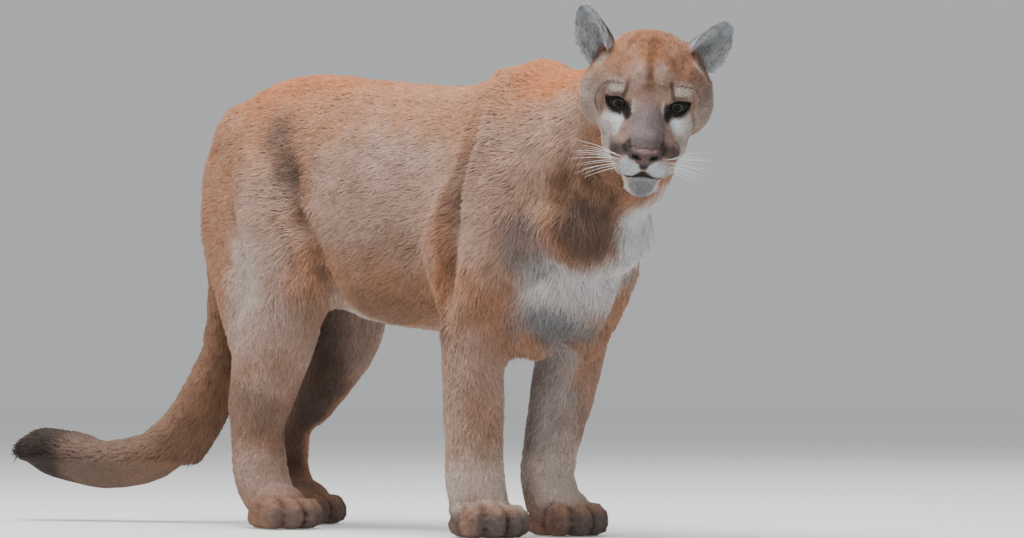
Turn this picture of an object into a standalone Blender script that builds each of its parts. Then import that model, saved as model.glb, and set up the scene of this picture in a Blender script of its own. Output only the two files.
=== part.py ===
"""A life-size standing cougar, head turned to its right, parted into named pieces.

Metres, +Z up. The body heads along +X and its left side is +Y. Soft forms (tubes along limbs, round
muscles) are fused by a voxel remesh, smoothed and thinned, and then parted with thin cuts.
"""
import math

import bmesh
import bpy
from mathutils import Matrix, Vector
from mathutils.bvhtree import BVHTree

GAP = 0.0003            # clearance between touching pieces

# For each fused mesh: size of its voxels, radius of the fillets in its hollows, rounds of smoothing
# and the triangles it keeps.
BODY_FUSING = (0.008, 0.010, 10, 4800)
HEAD_FUSING = (0.003, 0.005, 10, 4600)
PAW_FUSING = (0.003, 0.002, 5, 760)
NOSE_FUSING = (0.0015, 0.002, 6, 200)

# Trunk, from rump to chest: x, top of back, underside, half width.
TRUNK = (
    (-0.495, 0.634, 0.540, 0.045),
    (-0.465, 0.672, 0.495, 0.078),
    (-0.400, 0.712, 0.450, 0.104),
    (-0.300, 0.731, 0.402, 0.118),
    (-0.200, 0.726, 0.354, 0.124),
    (-0.100, 0.714, 0.326, 0.130),
    (0.020, 0.703, 0.314, 0.138),
    (0.140, 0.696, 0.306, 0.138),
    (0.240, 0.716, 0.300, 0.124),
    (0.320, 0.728, 0.308, 0.114),
    (0.390, 0.692, 0.350, 0.104),
    (0.440, 0.630, 0.400, 0.080),
)
WIDEST = 0.46           # height of the trunk's widest line, as a share of its depth
# Round muscles of the trunk: middle, radii, nose-down turn. Those off the midline are on both sides.
TRUNK_FORMS = (
    ((0.345, 0.000, 0.405), (0.098, 0.088, 0.108), 0),       # brisket
    ((0.430, 0.000, 0.470), (0.070, 0.104, 0.074), 0),       # breast
    ((0.335, 0.050, 0.355), (0.056, 0.044, 0.090), -12),     # muscle from breast to foreleg
    ((-0.400, 0.046, 0.600), (0.090, 0.056, 0.092), 0),      # rump
    ((0.030, 0.062, 0.470), (0.200, 0.074, 0.150), 0),       # ribs
)

# Neck, from between the shoulders to the skull: x, y, z, half height, half width.
NECK = (
    (0.260, 0.000, 0.575, 0.135, 0.100),
    (0.355, 0.004, 0.578, 0.133, 0.110),
    (0.452, 0.004, 0.588, 0.124, 0.099),
    (0.535, -0.018, 0.630, 0.100, 0.078),
    (0.600, -0.048, 0.654, 0.080, 0.071),
)

# Tail, root to tip: x, y, z, half height, half width.
TAIL = (
    (-0.430, 0.000, 0.640, 0.046, 0.050),
    (-0.494, 0.000, 0.614, 0.048, 0.047),
    (-0.534, 0.000, 0.562, 0.045, 0.044),
    (-0.532, 0.000, 0.480, 0.041, 0.042),
    (-0.515, -0.004, 0.385, 0.042, 0.043),
    (-0.515, -0.010, 0.300, 0.044, 0.045),
    (-0.538, -0.023, 0.232, 0.046, 0.046),
    (-0.588, -0.044, 0.150, 0.050, 0.050),
    (-0.650, -0.071, 0.102, 0.051, 0.051),
    (-0.730, -0.108, 0.087, 0.050, 0.050),
    (-0.785, -0.134, 0.099, 0.052, 0.052),
    (-0.835, -0.158, 0.109, 0.049, 0.049),
    (-0.868, -0.173, 0.112, 0.034, 0.034),
)

# Limbs as tubes: x, sideways, z, half depth, half width.
FORE_RIGHT = {
    "shoulder_blade": (
        (0.302, -0.044, 0.690, 0.060, 0.030),
        (0.298, -0.074, 0.632, 0.072, 0.038),
        (0.315, -0.096, 0.545, 0.080, 0.042),
        (0.342, -0.104, 0.465, 0.066, 0.044),
    ),
    "upper_arm": (
        (0.350, -0.100, 0.490, 0.054, 0.042),
        (0.315, -0.106, 0.415, 0.066, 0.046),
        (0.268, -0.108, 0.345, 0.058, 0.045),
    ),
    "triceps": (
        (0.225, -0.094, 0.540, 0.048, 0.032),
        (0.225, -0.106, 0.460, 0.070, 0.044),
        (0.248, -0.108, 0.365, 0.050, 0.043),
    ),
    "forearm": (
        (0.262, -0.107, 0.360, 0.056, 0.044),
        (0.264, -0.106, 0.300, 0.056, 0.046),
        (0.266, -0.105, 0.220, 0.054, 0.046),
        (0.268, -0.105, 0.140, 0.050, 0.044),
        (0.270, -0.105, 0.090, 0.049, 0.044),
        (0.278, -0.103, 0.050, 0.046, 0.043),
    ),
}
FORE_LEFT = {
    "shoulder_blade": (
        (0.284, 0.044, 0.690, 0.060, 0.030),
        (0.282, 0.074, 0.632, 0.072, 0.038),
        (0.312, 0.096, 0.545, 0.080, 0.042),
        (0.348, 0.102, 0.465, 0.066, 0.044),
    ),
    "upper_arm": (
        (0.354, 0.102, 0.490, 0.056, 0.042),
        (0.326, 0.102, 0.415, 0.065, 0.047),
        (0.290, 0.096, 0.345, 0.061, 0.047),
    ),
    "triceps": (
        (0.225, 0.092, 0.540, 0.048, 0.032),
        (0.230, 0.104, 0.460, 0.070, 0.044),
        (0.256, 0.100, 0.365, 0.054, 0.044),
    ),
    "forearm": (
        (0.278, 0.092, 0.365, 0.062, 0.051),
        (0.276, 0.081, 0.305, 0.060, 0.053),
        (0.273, 0.064, 0.225, 0.055, 0.049),
        (0.267, 0.046, 0.145, 0.048, 0.042),
        (0.268, 0.036, 0.095, 0.044, 0.041),
        (0.278, 0.040, 0.050, 0.043, 0.042),
    ),
}
HIND_RIGHT = {
    "thigh": (
        (-0.370, -0.066, 0.625, 0.088, 0.042),
        (-0.305, -0.090, 0.525, 0.112, 0.054),
        (-0.225, -0.104, 0.435, 0.096, 0.056),
        (-0.185, -0.108, 0.370, 0.068, 0.050),
    ),
    "hamstring": (
        (-0.428, -0.060, 0.605, 0.044, 0.038),
        (-0.408, -0.078, 0.505, 0.067, 0.048),
        (-0.350, -0.094, 0.395, 0.062, 0.048),
        (-0.318, -0.098, 0.300, 0.048, 0.042),
    ),
    "shank": (
        (-0.200, -0.108, 0.385, 0.078, 0.051),
        (-0.248, -0.104, 0.312, 0.083, 0.053),
        (-0.284, -0.100, 0.245, 0.074, 0.049),
        (-0.310, -0.097, 0.190, 0.060, 0.045),
    ),
    "foot": (
        (-0.314, -0.097, 0.205, 0.056, 0.043),
        (-0.312, -0.096, 0.135, 0.051, 0.041),
        (-0.302, -0.096, 0.084, 0.048, 0.042),
        (-0.276, -0.096, 0.045, 0.039, 0.042),
    ),
}
HIND_LEFT = {
    "thigh": (
        (-0.380, 0.066, 0.625, 0.088, 0.042),
        (-0.335, 0.088, 0.530, 0.110, 0.054),
        (-0.308, 0.098, 0.440, 0.086, 0.054),
        (-0.292, 0.098, 0.370, 0.064, 0.048),
    ),
    "hamstring": (
        (-0.432, 0.060, 0.605, 0.042, 0.038),
        (-0.430, 0.078, 0.510, 0.058, 0.046),
        (-0.415, 0.088, 0.400, 0.056, 0.044),
        (-0.425, 0.090, 0.310, 0.045, 0.040),
    ),
    "shank": (
        (-0.304, 0.099, 0.390, 0.068, 0.049),
        (-0.340, 0.098, 0.320, 0.076, 0.052),
        (-0.390, 0.092, 0.255, 0.066, 0.048),
        (-0.445, 0.086, 0.200, 0.054, 0.044),
    ),
    "foot": (
        (-0.458, 0.085, 0.212, 0.052, 0.041),
        (-0.482, 0.082, 0.150, 0.045, 0.039),
        (-0.484, 0.079, 0.092, 0.042, 0.040),
        (-0.456, 0.077, 0.045, 0.036, 0.041),
    ),
}

# Paws: middle of the main pad, heading from +X in degrees, size beside a fore paw.
PAWS = {
    "fore_right": ((0.284, -0.103), -4.0, 1.04),
    "fore_left": ((0.286, 0.048), 6.0, 1.04),
    "hind_right": ((-0.256, -0.096), 2.0, 1.00),
    "hind_left": ((-0.428, 0.078), 4.0, 1.0),
}
# Toes: forward, sideways away from the midline, length beside the longest, as on a fore paw.
TOES = ((0.028, 0.035, 0.92), (0.047, 0.0125, 1.0), (0.046, -0.0125, 1.0), (0.030, -0.035, 0.92))
TOE_RADII = (0.030, 0.0170, 0.026)

# Head: the point between the eyes, the way it faces and how it is tilted, in degrees.
BETWEEN_EYES = Vector((0.682, -0.105, 0.643))
HEADING, NOD, TILT = -39.0, 22.0, -5.0
EYE_RADIUS, LID_THICKNESS = 0.0185, 0.0042
EYE = (-0.0140, 0.0430, -0.0035)      # eyeball's middle in the head's frame: forward, sideways, up
EYE_TURN = 9.0                    # outward look of each eye, in degrees
# Round forms of the head in its own frame (forward, left, up): middle, radii, nose-down turn.
HEAD_MIDDLE_FORMS = (
    ((-0.082, 0.000, 0.009), (0.092, 0.082, 0.071), 0),      # brain case
    ((-0.038, 0.000, 0.018), (0.056, 0.062, 0.046), 25),     # forehead
    ((-0.068, 0.000, -0.052), (0.078, 0.058, 0.052), 10),    # throat end of the jaws
    ((-0.006, 0.000, -0.086), (0.062, 0.041, 0.037), 8),     # lower jaw
    ((0.026, 0.000, -0.108), (0.032, 0.033, 0.024), 10),     # chin
    ((0.060, 0.000, -0.056), (0.020, 0.024, 0.020), 20),     # nose end
)
HEAD_SIDE_FORMS = (
    ((-0.070, 0.047, -0.016), (0.062, 0.051, 0.060), 0),     # cheek
    ((-0.086, 0.052, -0.040), (0.042, 0.035, 0.040), 0),     # ruff under the ear
    ((-0.023, 0.042, -0.031), (0.047, 0.031, 0.028), 20),    # cheek bone
    ((-0.012, 0.036, -0.060), (0.046, 0.028, 0.032), 12),    # lower cheek
    ((-0.026, 0.036, 0.016), (0.032, 0.036, 0.022), 14),     # brow
    ((-0.044, 0.050, 0.018), (0.040, 0.030, 0.034), 0),      # temple
    ((0.010, 0.018, -0.040), (0.046, 0.028, 0.026), 36),     # side of the bridge
    ((0.038, 0.0225, -0.076), (0.036, 0.0245, 0.0240), 12),  # whisker pad
    ((0.022, 0.030, -0.060), (0.038, 0.024, 0.026), 20),     # top of the whisker pad
    ((-0.042, 0.024, -0.083), (0.064, 0.023, 0.028), -12),   # jaw
)
# Bridge of the nose: forward, left, up, half height, half width.
BRIDGE = (
    (-0.024, 0.000, 0.005, 0.024, 0.038),
    (0.006, 0.000, -0.014, 0.024, 0.028),
    (0.036, 0.000, -0.037, 0.024, 0.026),
    (0.059, 0.000, -0.054, 0.023, 0.024),
)

# Opening between the lids: half width, half height; its slant in degrees, inner corner low.
OPENING, OPENING_SLANT = (0.0155, 0.0108), 9.0
# Nose leather: middle and radii of its pad and of each wing, and each nostril.
NOSE_PAD = ((0.0700, 0.000, -0.0575), (0.0140, 0.0165, 0.0150))
NOSE_WING = ((0.0690, 0.0140, -0.0550), (0.0110, 0.0115, 0.0100))
NOSTRIL = ((0.0790, 0.0140, -0.0575), (0.0070, 0.0048, 0.0035))
# Mouth: height of its middle in the head's frame, drop of its corners, half angle, groove radius.
MOUTH_HEIGHT, MOUTH_DROP, MOUTH_ANGLE, MOUTH_RADIUS = -0.0935, 0.0060, 60.0, 0.0021

# Ears in the head's frame: root, tip direction, way the cup faces, length.
EARS = {
    "ear_right": ((-0.070, -0.081, 0.046), (0.02, -0.36, 0.93), (0.80, -0.60, 0.0), 0.075),
    "ear_left": ((-0.074, 0.074, 0.042), (-0.30, 0.58, 0.75), (0.86, 0.50, 0.10), 0.073),
}
EAR_THICKNESS = 0.0065
# Cross sections of an ear's cup: share of its length, radius, half angle of the arc in degrees.
EAR_SECTIONS = (
    (-0.30, 0.020, 125.0),
    (0.00, 0.026, 112.0),
    (0.20, 0.0290, 98.0),
    (0.40, 0.0295, 84.0),
    (0.60, 0.0285, 68.0),
    (0.78, 0.0262, 54.0),
    (0.91, 0.0222, 42.0),
    (0.98, 0.0172, 27.0),
)

# Where the pieces part. Blocks are outlines with their reach along the third axis.
HEAD_PLANE = (0.604, -0.040)                    # a point of the head's upright rear plane
NECK_BLOCK = (((0.254, 0.80), (0.456, 0.41), (1.00, 0.41), (1.00, 0.80)), "Y", -0.40, 0.40)
TAIL_BLOCK = (((-1.10, -0.02), (-0.462, -0.02), (-0.462, 0.47), (-0.500, 0.72), (-1.10, 0.72)),
              "Y", -0.40, 0.040)
TAIL_SPLITS = (0.46, 0.25)                      # heights at which the tail parts again
LEG_BLOCKS = {
    "fore_right": (((-0.030, -0.05), (-0.030, 0.30), (-0.190, 0.545), (-0.32, 0.545), (-0.32, -0.05)),
                   "X", 0.150, 0.470),
    "fore_left": (((-0.030, -0.05), (-0.030, 0.20), (0.190, 0.545), (0.32, 0.545), (0.32, -0.05)),
                  "X", 0.150, 0.470),
    "hind_right": (((-0.018, -0.05), (-0.018, 0.42), (-0.190, 0.62), (-0.32, 0.62), (-0.32, -0.05)),
                   "X", -0.60, -0.105),
    "hind_left": (((0.018, -0.05), (0.018, 0.42), (0.190, 0.62), (0.32, 0.62), (0.32, -0.05)),
                  "X", -0.60, -0.160),
}
KNEE = {"fore": 0.290, "hind": 0.322}           # height where the upper and lower leg part
ANKLE = 0.100                                   # height where the paw parts from the leg

COLOURS = {
    "coat": (0.46, 0.29, 0.18, 1.0),
    "eye": (0.10, 0.09, 0.05, 1.0),
    "nose": (0.24, 0.11, 0.10, 1.0),
}
ROUGHNESS = {"coat": 0.9, "eye": 0.15, "nose": 0.5}


def clear_scene():
    for obj in list(bpy.data.objects):
        bpy.data.objects.remove(obj)


def finish_of(name):
    material = bpy.data.materials.get(name)
    if material is None:
        material = bpy.data.materials.new(name)
        material.use_nodes = True
        shader = material.node_tree.nodes["Principled BSDF"]
        shader.inputs["Base Color"].default_value = COLOURS[name]
        shader.inputs["Roughness"].default_value = ROUGHNESS[name]
        shader.inputs["Metallic"].default_value = 0.0
    return material


def new_object(name, mesh, collection):
    obj = bpy.data.objects.new(name, mesh)
    collection.objects.link(obj)
    return obj


def smooth_rows(rows, steps):
    """Rows of numbers with others put between them on a smooth curve through all of them."""
    out = []
    for i in range(len(rows) - 1):
        before, a, b, after = rows[max(i - 1, 0)], rows[i], rows[i + 1], rows[min(i + 2, len(rows) - 1)]
        for k in range(steps):
            t = k / steps
            out.append(tuple(
                0.5 * (2 * q + (r - p) * t + (2 * p - 5 * q + 4 * r - s) * t * t
                       + (3 * q - p - 3 * r + s) * t ** 3)
                for p, q, r, s in zip(before, a, b, after)))
    out.append(tuple(rows[-1]))
    return out


def skin_over(shape, rings):
    """Joins closed rings of points into one closed tube with flat ends."""
    loops = [[shape.verts.new(point) for point in ring] for ring in rings]
    count = len(loops[0])
    for near, far in zip(loops, loops[1:]):
        for i in range(count):
            j = (i + 1) % count
            shape.faces.new((near[i], near[j], far[j], far[i]))
    shape.faces.new(list(reversed(loops[0])))
    shape.faces.new(loops[-1])


def add_tube(shape, rows, place=Matrix.Identity(4), sides=20, steps=5):
    """A round-ended tube through rows of x, y, z, half depth, half width, its width lying along Y."""
    rows = smooth_rows(rows, steps)
    points = [Vector(row[:3]) for row in rows]
    rings = []
    for i, row in enumerate(rows):
        along = (points[min(i + 1, len(rows) - 1)] - points[max(i - 1, 0)]).normalized()
        wide = (Vector((0, 1, 0)) - along * along.y).normalized()
        deep = along.cross(wide)
        stations = [(0.0, 1.0)]
        if i in (0, len(rows) - 1):
            sign = -1.0 if i == 0 else 1.0
            reach = min(row[3], row[4]) * 0.8
            stations += [(sign * reach * math.sin(a), math.cos(a)) for a in (0.5, 0.95, 1.3, 1.5)]
            stations.sort()
        for shift, share in stations:
            rings.append([
                place @ (points[i] + along * shift + deep * (share * row[3] * math.cos(a))
                         + wide * (share * row[4] * math.sin(a)))
                for a in (2 * math.pi * k / sides for k in range(sides))])
    skin_over(shape, rings)


def add_trunk(shape, sides=28, steps=4):
    rings = []
    for x, top, underside, half_width in smooth_rows(TRUNK, steps):
        widest = underside + (top - underside) * WIDEST
        ring = []
        for k in range(sides):
            a = 2 * math.pi * k / sides
            reach = top - widest if math.sin(a) > 0 else widest - underside
            ring.append(Vector((x, half_width * math.cos(a), widest + reach * math.sin(a))))
        rings.append(ring)
    skin_over(shape, rings)


def add_round(shape, middle, radii, turn=0.0, place=Matrix.Identity(4)):
    """An egg: a ball stretched to three radii and turned about the sideways axis, in degrees."""
    matrix = (place @ Matrix.Translation(middle) @ Matrix.Rotation(math.radians(turn), 4, "Y")
              @ Matrix.Diagonal((*radii, 1.0)))
    bmesh.ops.create_uvsphere(shape, u_segments=20, v_segments=12, radius=1.0, matrix=matrix)


def add_body(shape):
    """All the forms of the body but the head, paws and limbs."""
    add_trunk(shape)
    add_tube(shape, NECK, sides=24)
    add_tube(shape, TAIL, sides=16)
    for middle, radii, turn in TRUNK_FORMS:
        for side in (-1, 1) if middle[1] else (1,):
            add_round(shape, (middle[0], side * middle[1], middle[2]), radii, turn)


def evaluated_mesh(obj):
    graph = bpy.context.evaluated_depsgraph_get()
    return bpy.data.meshes.new_from_object(obj.evaluated_get(graph))


def apply_modifiers(obj):
    mesh = evaluated_mesh(obj)
    obj.modifiers.clear()
    obj.data = mesh


def fuse(name, shape, helpers, fusing):
    """One smooth closed surface round all the forms in the shape, its hollows filleted: it is swollen,
    remeshed and shrunk again."""
    voxel, fillet, smoothing, triangles = fusing
    obj = from_shape(name, shape, helpers)
    for reach in (fillet, -fillet):
        remesh = obj.modifiers.new("fuse", "REMESH")
        remesh.mode = "VOXEL"
        remesh.voxel_size = voxel
        swell = obj.modifiers.new("swell", "DISPLACE")
        swell.mid_level = 0.0
        swell.strength = reach
    smooth = obj.modifiers.new("smooth", "SMOOTH")
    smooth.factor = 0.5
    smooth.iterations = smoothing
    apply_modifiers(obj)
    thin = obj.modifiers.new("thin", "DECIMATE")
    thin.ratio = triangles / sum(len(face.vertices) - 2 for face in obj.data.polygons)
    apply_modifiers(obj)
    keep_largest(obj)
    return obj


def keep_largest(obj):
    """Leaves the largest closed surface of a mesh and drops loose scraps."""
    shape = bmesh.new()
    shape.from_mesh(obj.data)
    unseen = set(shape.verts)
    islands = []
    while unseen:
        queue = [unseen.pop()]
        island = set(queue)
        while queue:
            for edge in queue.pop().link_edges:
                for vert in edge.verts:
                    if vert in unseen:
                        unseen.remove(vert)
                        island.add(vert)
                        queue.append(vert)
        islands.append(island)
    islands.sort(key=len)
    for island in islands[:-1]:
        bmesh.ops.delete(shape, geom=list(island), context="VERTS")
    bmesh.ops.triangulate(shape, faces=shape.faces)
    shape.to_mesh(obj.data)
    shape.free()


def combine(obj, other, operation):
    boolean = obj.modifiers.new("combine", "BOOLEAN")
    boolean.operation = operation
    boolean.solver = "EXACT"
    boolean.object = other
    apply_modifiers(obj)


def on_axis(axis, point, reach):
    """The place of an outline's point, reach along the given axis."""
    if axis == "X":
        return (reach, point.x, point.y)
    return (point.x, reach, point.y) if axis == "Y" else (point.x, point.y, reach)


def block(name, outline, axis, low, high, helpers, grow=0.0):
    """A prism with a convex outline: in the XZ plane for axis Y, in the YZ plane for axis X, and in
    the XY plane for axis Z, from low to high along its axis, grown outwards by grow."""
    points = [Vector(point) for point in outline]
    area = sum(p.x * q.y - q.x * p.y for p, q in zip(points, points[1:] + points[:1]))
    if area < 0:
        points.reverse()
    grown = []
    for i, point in enumerate(points):
        before = (point - points[i - 1]).normalized()
        after = (points[(i + 1) % len(points)] - point).normalized()
        n1, n2 = Vector((before.y, -before.x)), Vector((after.y, -after.x))
        grown.append(point + (n1 + n2) * (grow / (1 + n1.dot(n2))))
    shape = bmesh.new()
    near, far = ([shape.verts.new(on_axis(axis, p, reach)) for p in grown]
                 for reach in (low - grow, high + grow))
    for i in range(len(near)):
        j = (i + 1) % len(near)
        shape.faces.new((near[i], near[j], far[j], far[i]))
    shape.faces.new(near)
    shape.faces.new(far)
    bmesh.ops.recalc_face_normals(shape, faces=shape.faces)
    mesh = bpy.data.meshes.new(name)
    shape.to_mesh(mesh)
    shape.free()
    return new_object(name, mesh, helpers)


def part_off(whole, name, helpers, animal, finish, *block_shape):
    """Takes what lies in the block out of the whole as a piece of its own, with a gap left between."""
    piece = new_object(name, whole.data.copy(), animal)
    combine(piece, block(name + "_block", *block_shape, helpers), "INTERSECT")
    keep_largest(piece)
    combine(whole, block(name + "_cut", *block_shape, helpers, grow=GAP), "DIFFERENCE")
    keep_largest(whole)
    piece.data.materials.clear()
    piece.data.materials.append(finish)
    return piece


def head_frame():
    return (Matrix.Translation(BETWEEN_EYES) @ Matrix.Rotation(math.radians(HEADING), 4, "Z")
            @ Matrix.Rotation(math.radians(NOD), 4, "Y") @ Matrix.Rotation(math.radians(TILT), 4, "X"))


def add_head(shape):
    place = head_frame()
    for middle, radii, turn in HEAD_MIDDLE_FORMS:
        add_round(shape, middle, radii, turn, place)
    for middle, radii, turn in HEAD_SIDE_FORMS:
        for side in (-1, 1):
            add_round(shape, (middle[0], side * middle[1], middle[2]), radii, turn, place)
    add_tube(shape, BRIDGE, place, sides=20, steps=4)
    lid = EYE_RADIUS + LID_THICKNESS
    for side in (-1, 1):
        add_round(shape, (EYE[0], side * EYE[1], EYE[2]), (lid, lid, lid), 0, place)


def add_paw(shape, spot, heading, size, outward):
    """A broad pad with four toes; outward is -1 on the right side and 1 on the left."""
    place = (Matrix.Translation((*spot, 0.0)) @ Matrix.Rotation(math.radians(heading), 4, "Z")
             @ Matrix.Scale(size, 4))
    add_round(shape, (-0.004, 0.0, 0.040), (0.050, 0.044, 0.036), 10, place)
    add_round(shape, (-0.018, 0.0, 0.020), (0.040, 0.037, 0.028), 0, place)
    for forward, sideways, length in TOES:
        fan = Matrix.Rotation(sideways * outward * 6.0, 4, "Z")
        toe = place @ Matrix.Translation((forward, sideways * outward, 0.0225)) @ fan
        add_round(shape, (0, 0, 0), (TOE_RADII[0] * length, *TOE_RADII[1:]), 14, toe)


def fuse_paw(name, limb, helpers):
    """A finer mesh of one paw with the lower leg that runs into it, flat under the sole."""
    shape = bmesh.new()
    lower = limb.get("foot") or limb["forearm"]
    add_tube(shape, lower, sides=24)
    spot, heading, size = PAWS[name]
    add_paw(shape, spot, heading, size, 1 if "left" in name else -1)
    return fuse(name + "_fine", shape, helpers, PAW_FUSING)


def grown_copy(obj, name, helpers):
    """A copy of a closed piece, larger all round by the gap."""
    copy = new_object(name, obj.data.copy(), helpers)
    swell = copy.modifiers.new("swell", "DISPLACE")
    swell.mid_level = 0.0
    swell.strength = GAP
    apply_modifiers(copy)
    return copy


def from_shape(name, shape, collection):
    bmesh.ops.recalc_face_normals(shape, faces=shape.faces)
    mesh = bpy.data.meshes.new(name)
    shape.to_mesh(mesh)
    shape.free()
    return new_object(name, mesh, collection)


def eye_frame(side):
    """Middle of an eyeball, looking along +X; side is -1 on the right and 1 on the left."""
    spot = Matrix.Translation((EYE[0], side * EYE[1], EYE[2]))
    return head_frame() @ spot @ Matrix.Rotation(side * math.radians(EYE_TURN), 4, "Z")


def cut_eye_opening(head, side, helpers):
    """An almond opening through the lids, wider outside than at the eyeball."""
    frame = eye_frame(side)
    shape = bmesh.new()
    rings = []
    slant = math.radians(OPENING_SLANT)
    for forward, scale in ((0.0, 0.75), (EYE_RADIUS, 1.0), (2.2 * EYE_RADIUS, 1.5)):
        ring = []
        for k in range(20):
            a = 2 * math.pi * k / 20
            across = OPENING[0] * math.cos(a)
            height = OPENING[1] * math.copysign(abs(math.sin(a)) ** 1.25, math.sin(a))
            tilted = (across * math.cos(slant) - height * math.sin(slant),
                      across * math.sin(slant) + height * math.cos(slant))
            ring.append(frame @ Vector((forward, side * scale * tilted[0], scale * tilted[1])))
        rings.append(ring)
    skin_over(shape, rings)
    combine(head, from_shape("eye_opening", shape, helpers), "DIFFERENCE")


def cut_mouth(head, helpers):
    """A groove for the line of the mouth, laid on the head's surface."""
    place = head_frame()
    shape = bmesh.new()
    shape.from_mesh(head.data)
    surface = BVHTree.FromBMesh(shape)
    shape.free()
    middle = place @ Vector((-0.01, 0.0, MOUTH_HEIGHT))
    rows = []
    steps = 16
    for k in range(-steps, steps + 1):
        a = math.radians(MOUTH_ANGLE) * k / steps
        height = MOUTH_HEIGHT - MOUTH_DROP * (k / steps) ** 2
        outside = place @ Vector((0.12 * math.cos(a), 0.12 * math.sin(a), height))
        hit = surface.ray_cast(outside, middle - outside)[0]
        if hit is not None:
            rows.append(place.inverted() @ hit)
    groove = bmesh.new()
    rings = []
    for i, point in enumerate(rows):
        along = (rows[min(i + 1, len(rows) - 1)] - rows[max(i - 1, 0)]).normalized()
        up = (Vector((0, 0, 1)) - along * along.z).normalized()
        out = along.cross(up)
        share = 0.35 if i in (0, len(rows) - 1) else 1.0
        rings.append([place @ (point + (up * math.cos(a) + out * 1.6 * math.sin(a)) * MOUTH_RADIUS * share)
                      for a in (2 * math.pi * k / 10 for k in range(10))])
    skin_over(groove, rings)
    combine(head, from_shape("mouth_groove", groove, helpers), "DIFFERENCE")


def make_ear(name, collection):
    """A cupped sheet with a thick rounded rim, open towards the way it faces."""
    place = head_frame()
    root, tip, face = (Vector(part) for part in EARS[name][:3])
    length = EARS[name][3]
    tip.normalize()
    face = (face - tip * face.dot(tip)).normalized()
    across = tip.cross(face)
    shape = bmesh.new()
    rings = []
    for share, radius, half_angle in EAR_SECTIONS:
        half = math.radians(half_angle)
        middle = root + tip * (share * length) - face * (0.010 * max(share, 0.0) ** 2)
        thick = EAR_THICKNESS * (1.0 - 0.35 * max(share, 0.0))
        ring = []
        for k in range(13):
            a = half * (k / 6 - 1)
            ring.append((radius, a))
        ring += [(radius - thick, a) for _, a in reversed(ring)]
        rings.append([
            place @ (middle + across * (r * math.sin(a)) - face * (r * math.cos(a) - radius * math.cos(half)))
            for r, a in ring])
    skin_over(shape, rings)
    return from_shape(name, shape, collection)


def make_nose(helpers):
    place = head_frame()
    shape = bmesh.new()
    add_round(shape, *NOSE_PAD, 0, place)
    for side in (-1, 1):
        middle, radii = NOSE_WING
        add_round(shape, (middle[0], side * middle[1], middle[2]), radii, 0, place)
    return fuse("nose_fused", shape, helpers, NOSE_FUSING)


def cut_nostrils(nose, helpers):
    place = head_frame()
    middle, radii = NOSTRIL
    for side in (-1, 1):
        shape = bmesh.new()
        turn = Matrix.Rotation(side * math.radians(35), 4, "Z")
        spot = place @ Matrix.Translation((middle[0], side * middle[1], middle[2])) @ turn
        bmesh.ops.create_uvsphere(shape, u_segments=12, v_segments=8, radius=1.0,
                                  matrix=spot @ Matrix.Diagonal((*radii, 1.0)))
        combine(nose, from_shape("nostril", shape, helpers), "DIFFERENCE")


def stand_over_origin(animal):
    """Brings the middle of the whole animal's box over the origin, soles on the floor."""
    points = [vert.co for obj in animal.objects for vert in obj.data.vertices]
    middle = [(min(p[i] for p in points) + max(p[i] for p in points)) / 2 for i in (0, 1)]
    for obj in animal.objects:
        obj.data.transform(Matrix.Translation((-middle[0], -middle[1], 0.0)))


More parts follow.
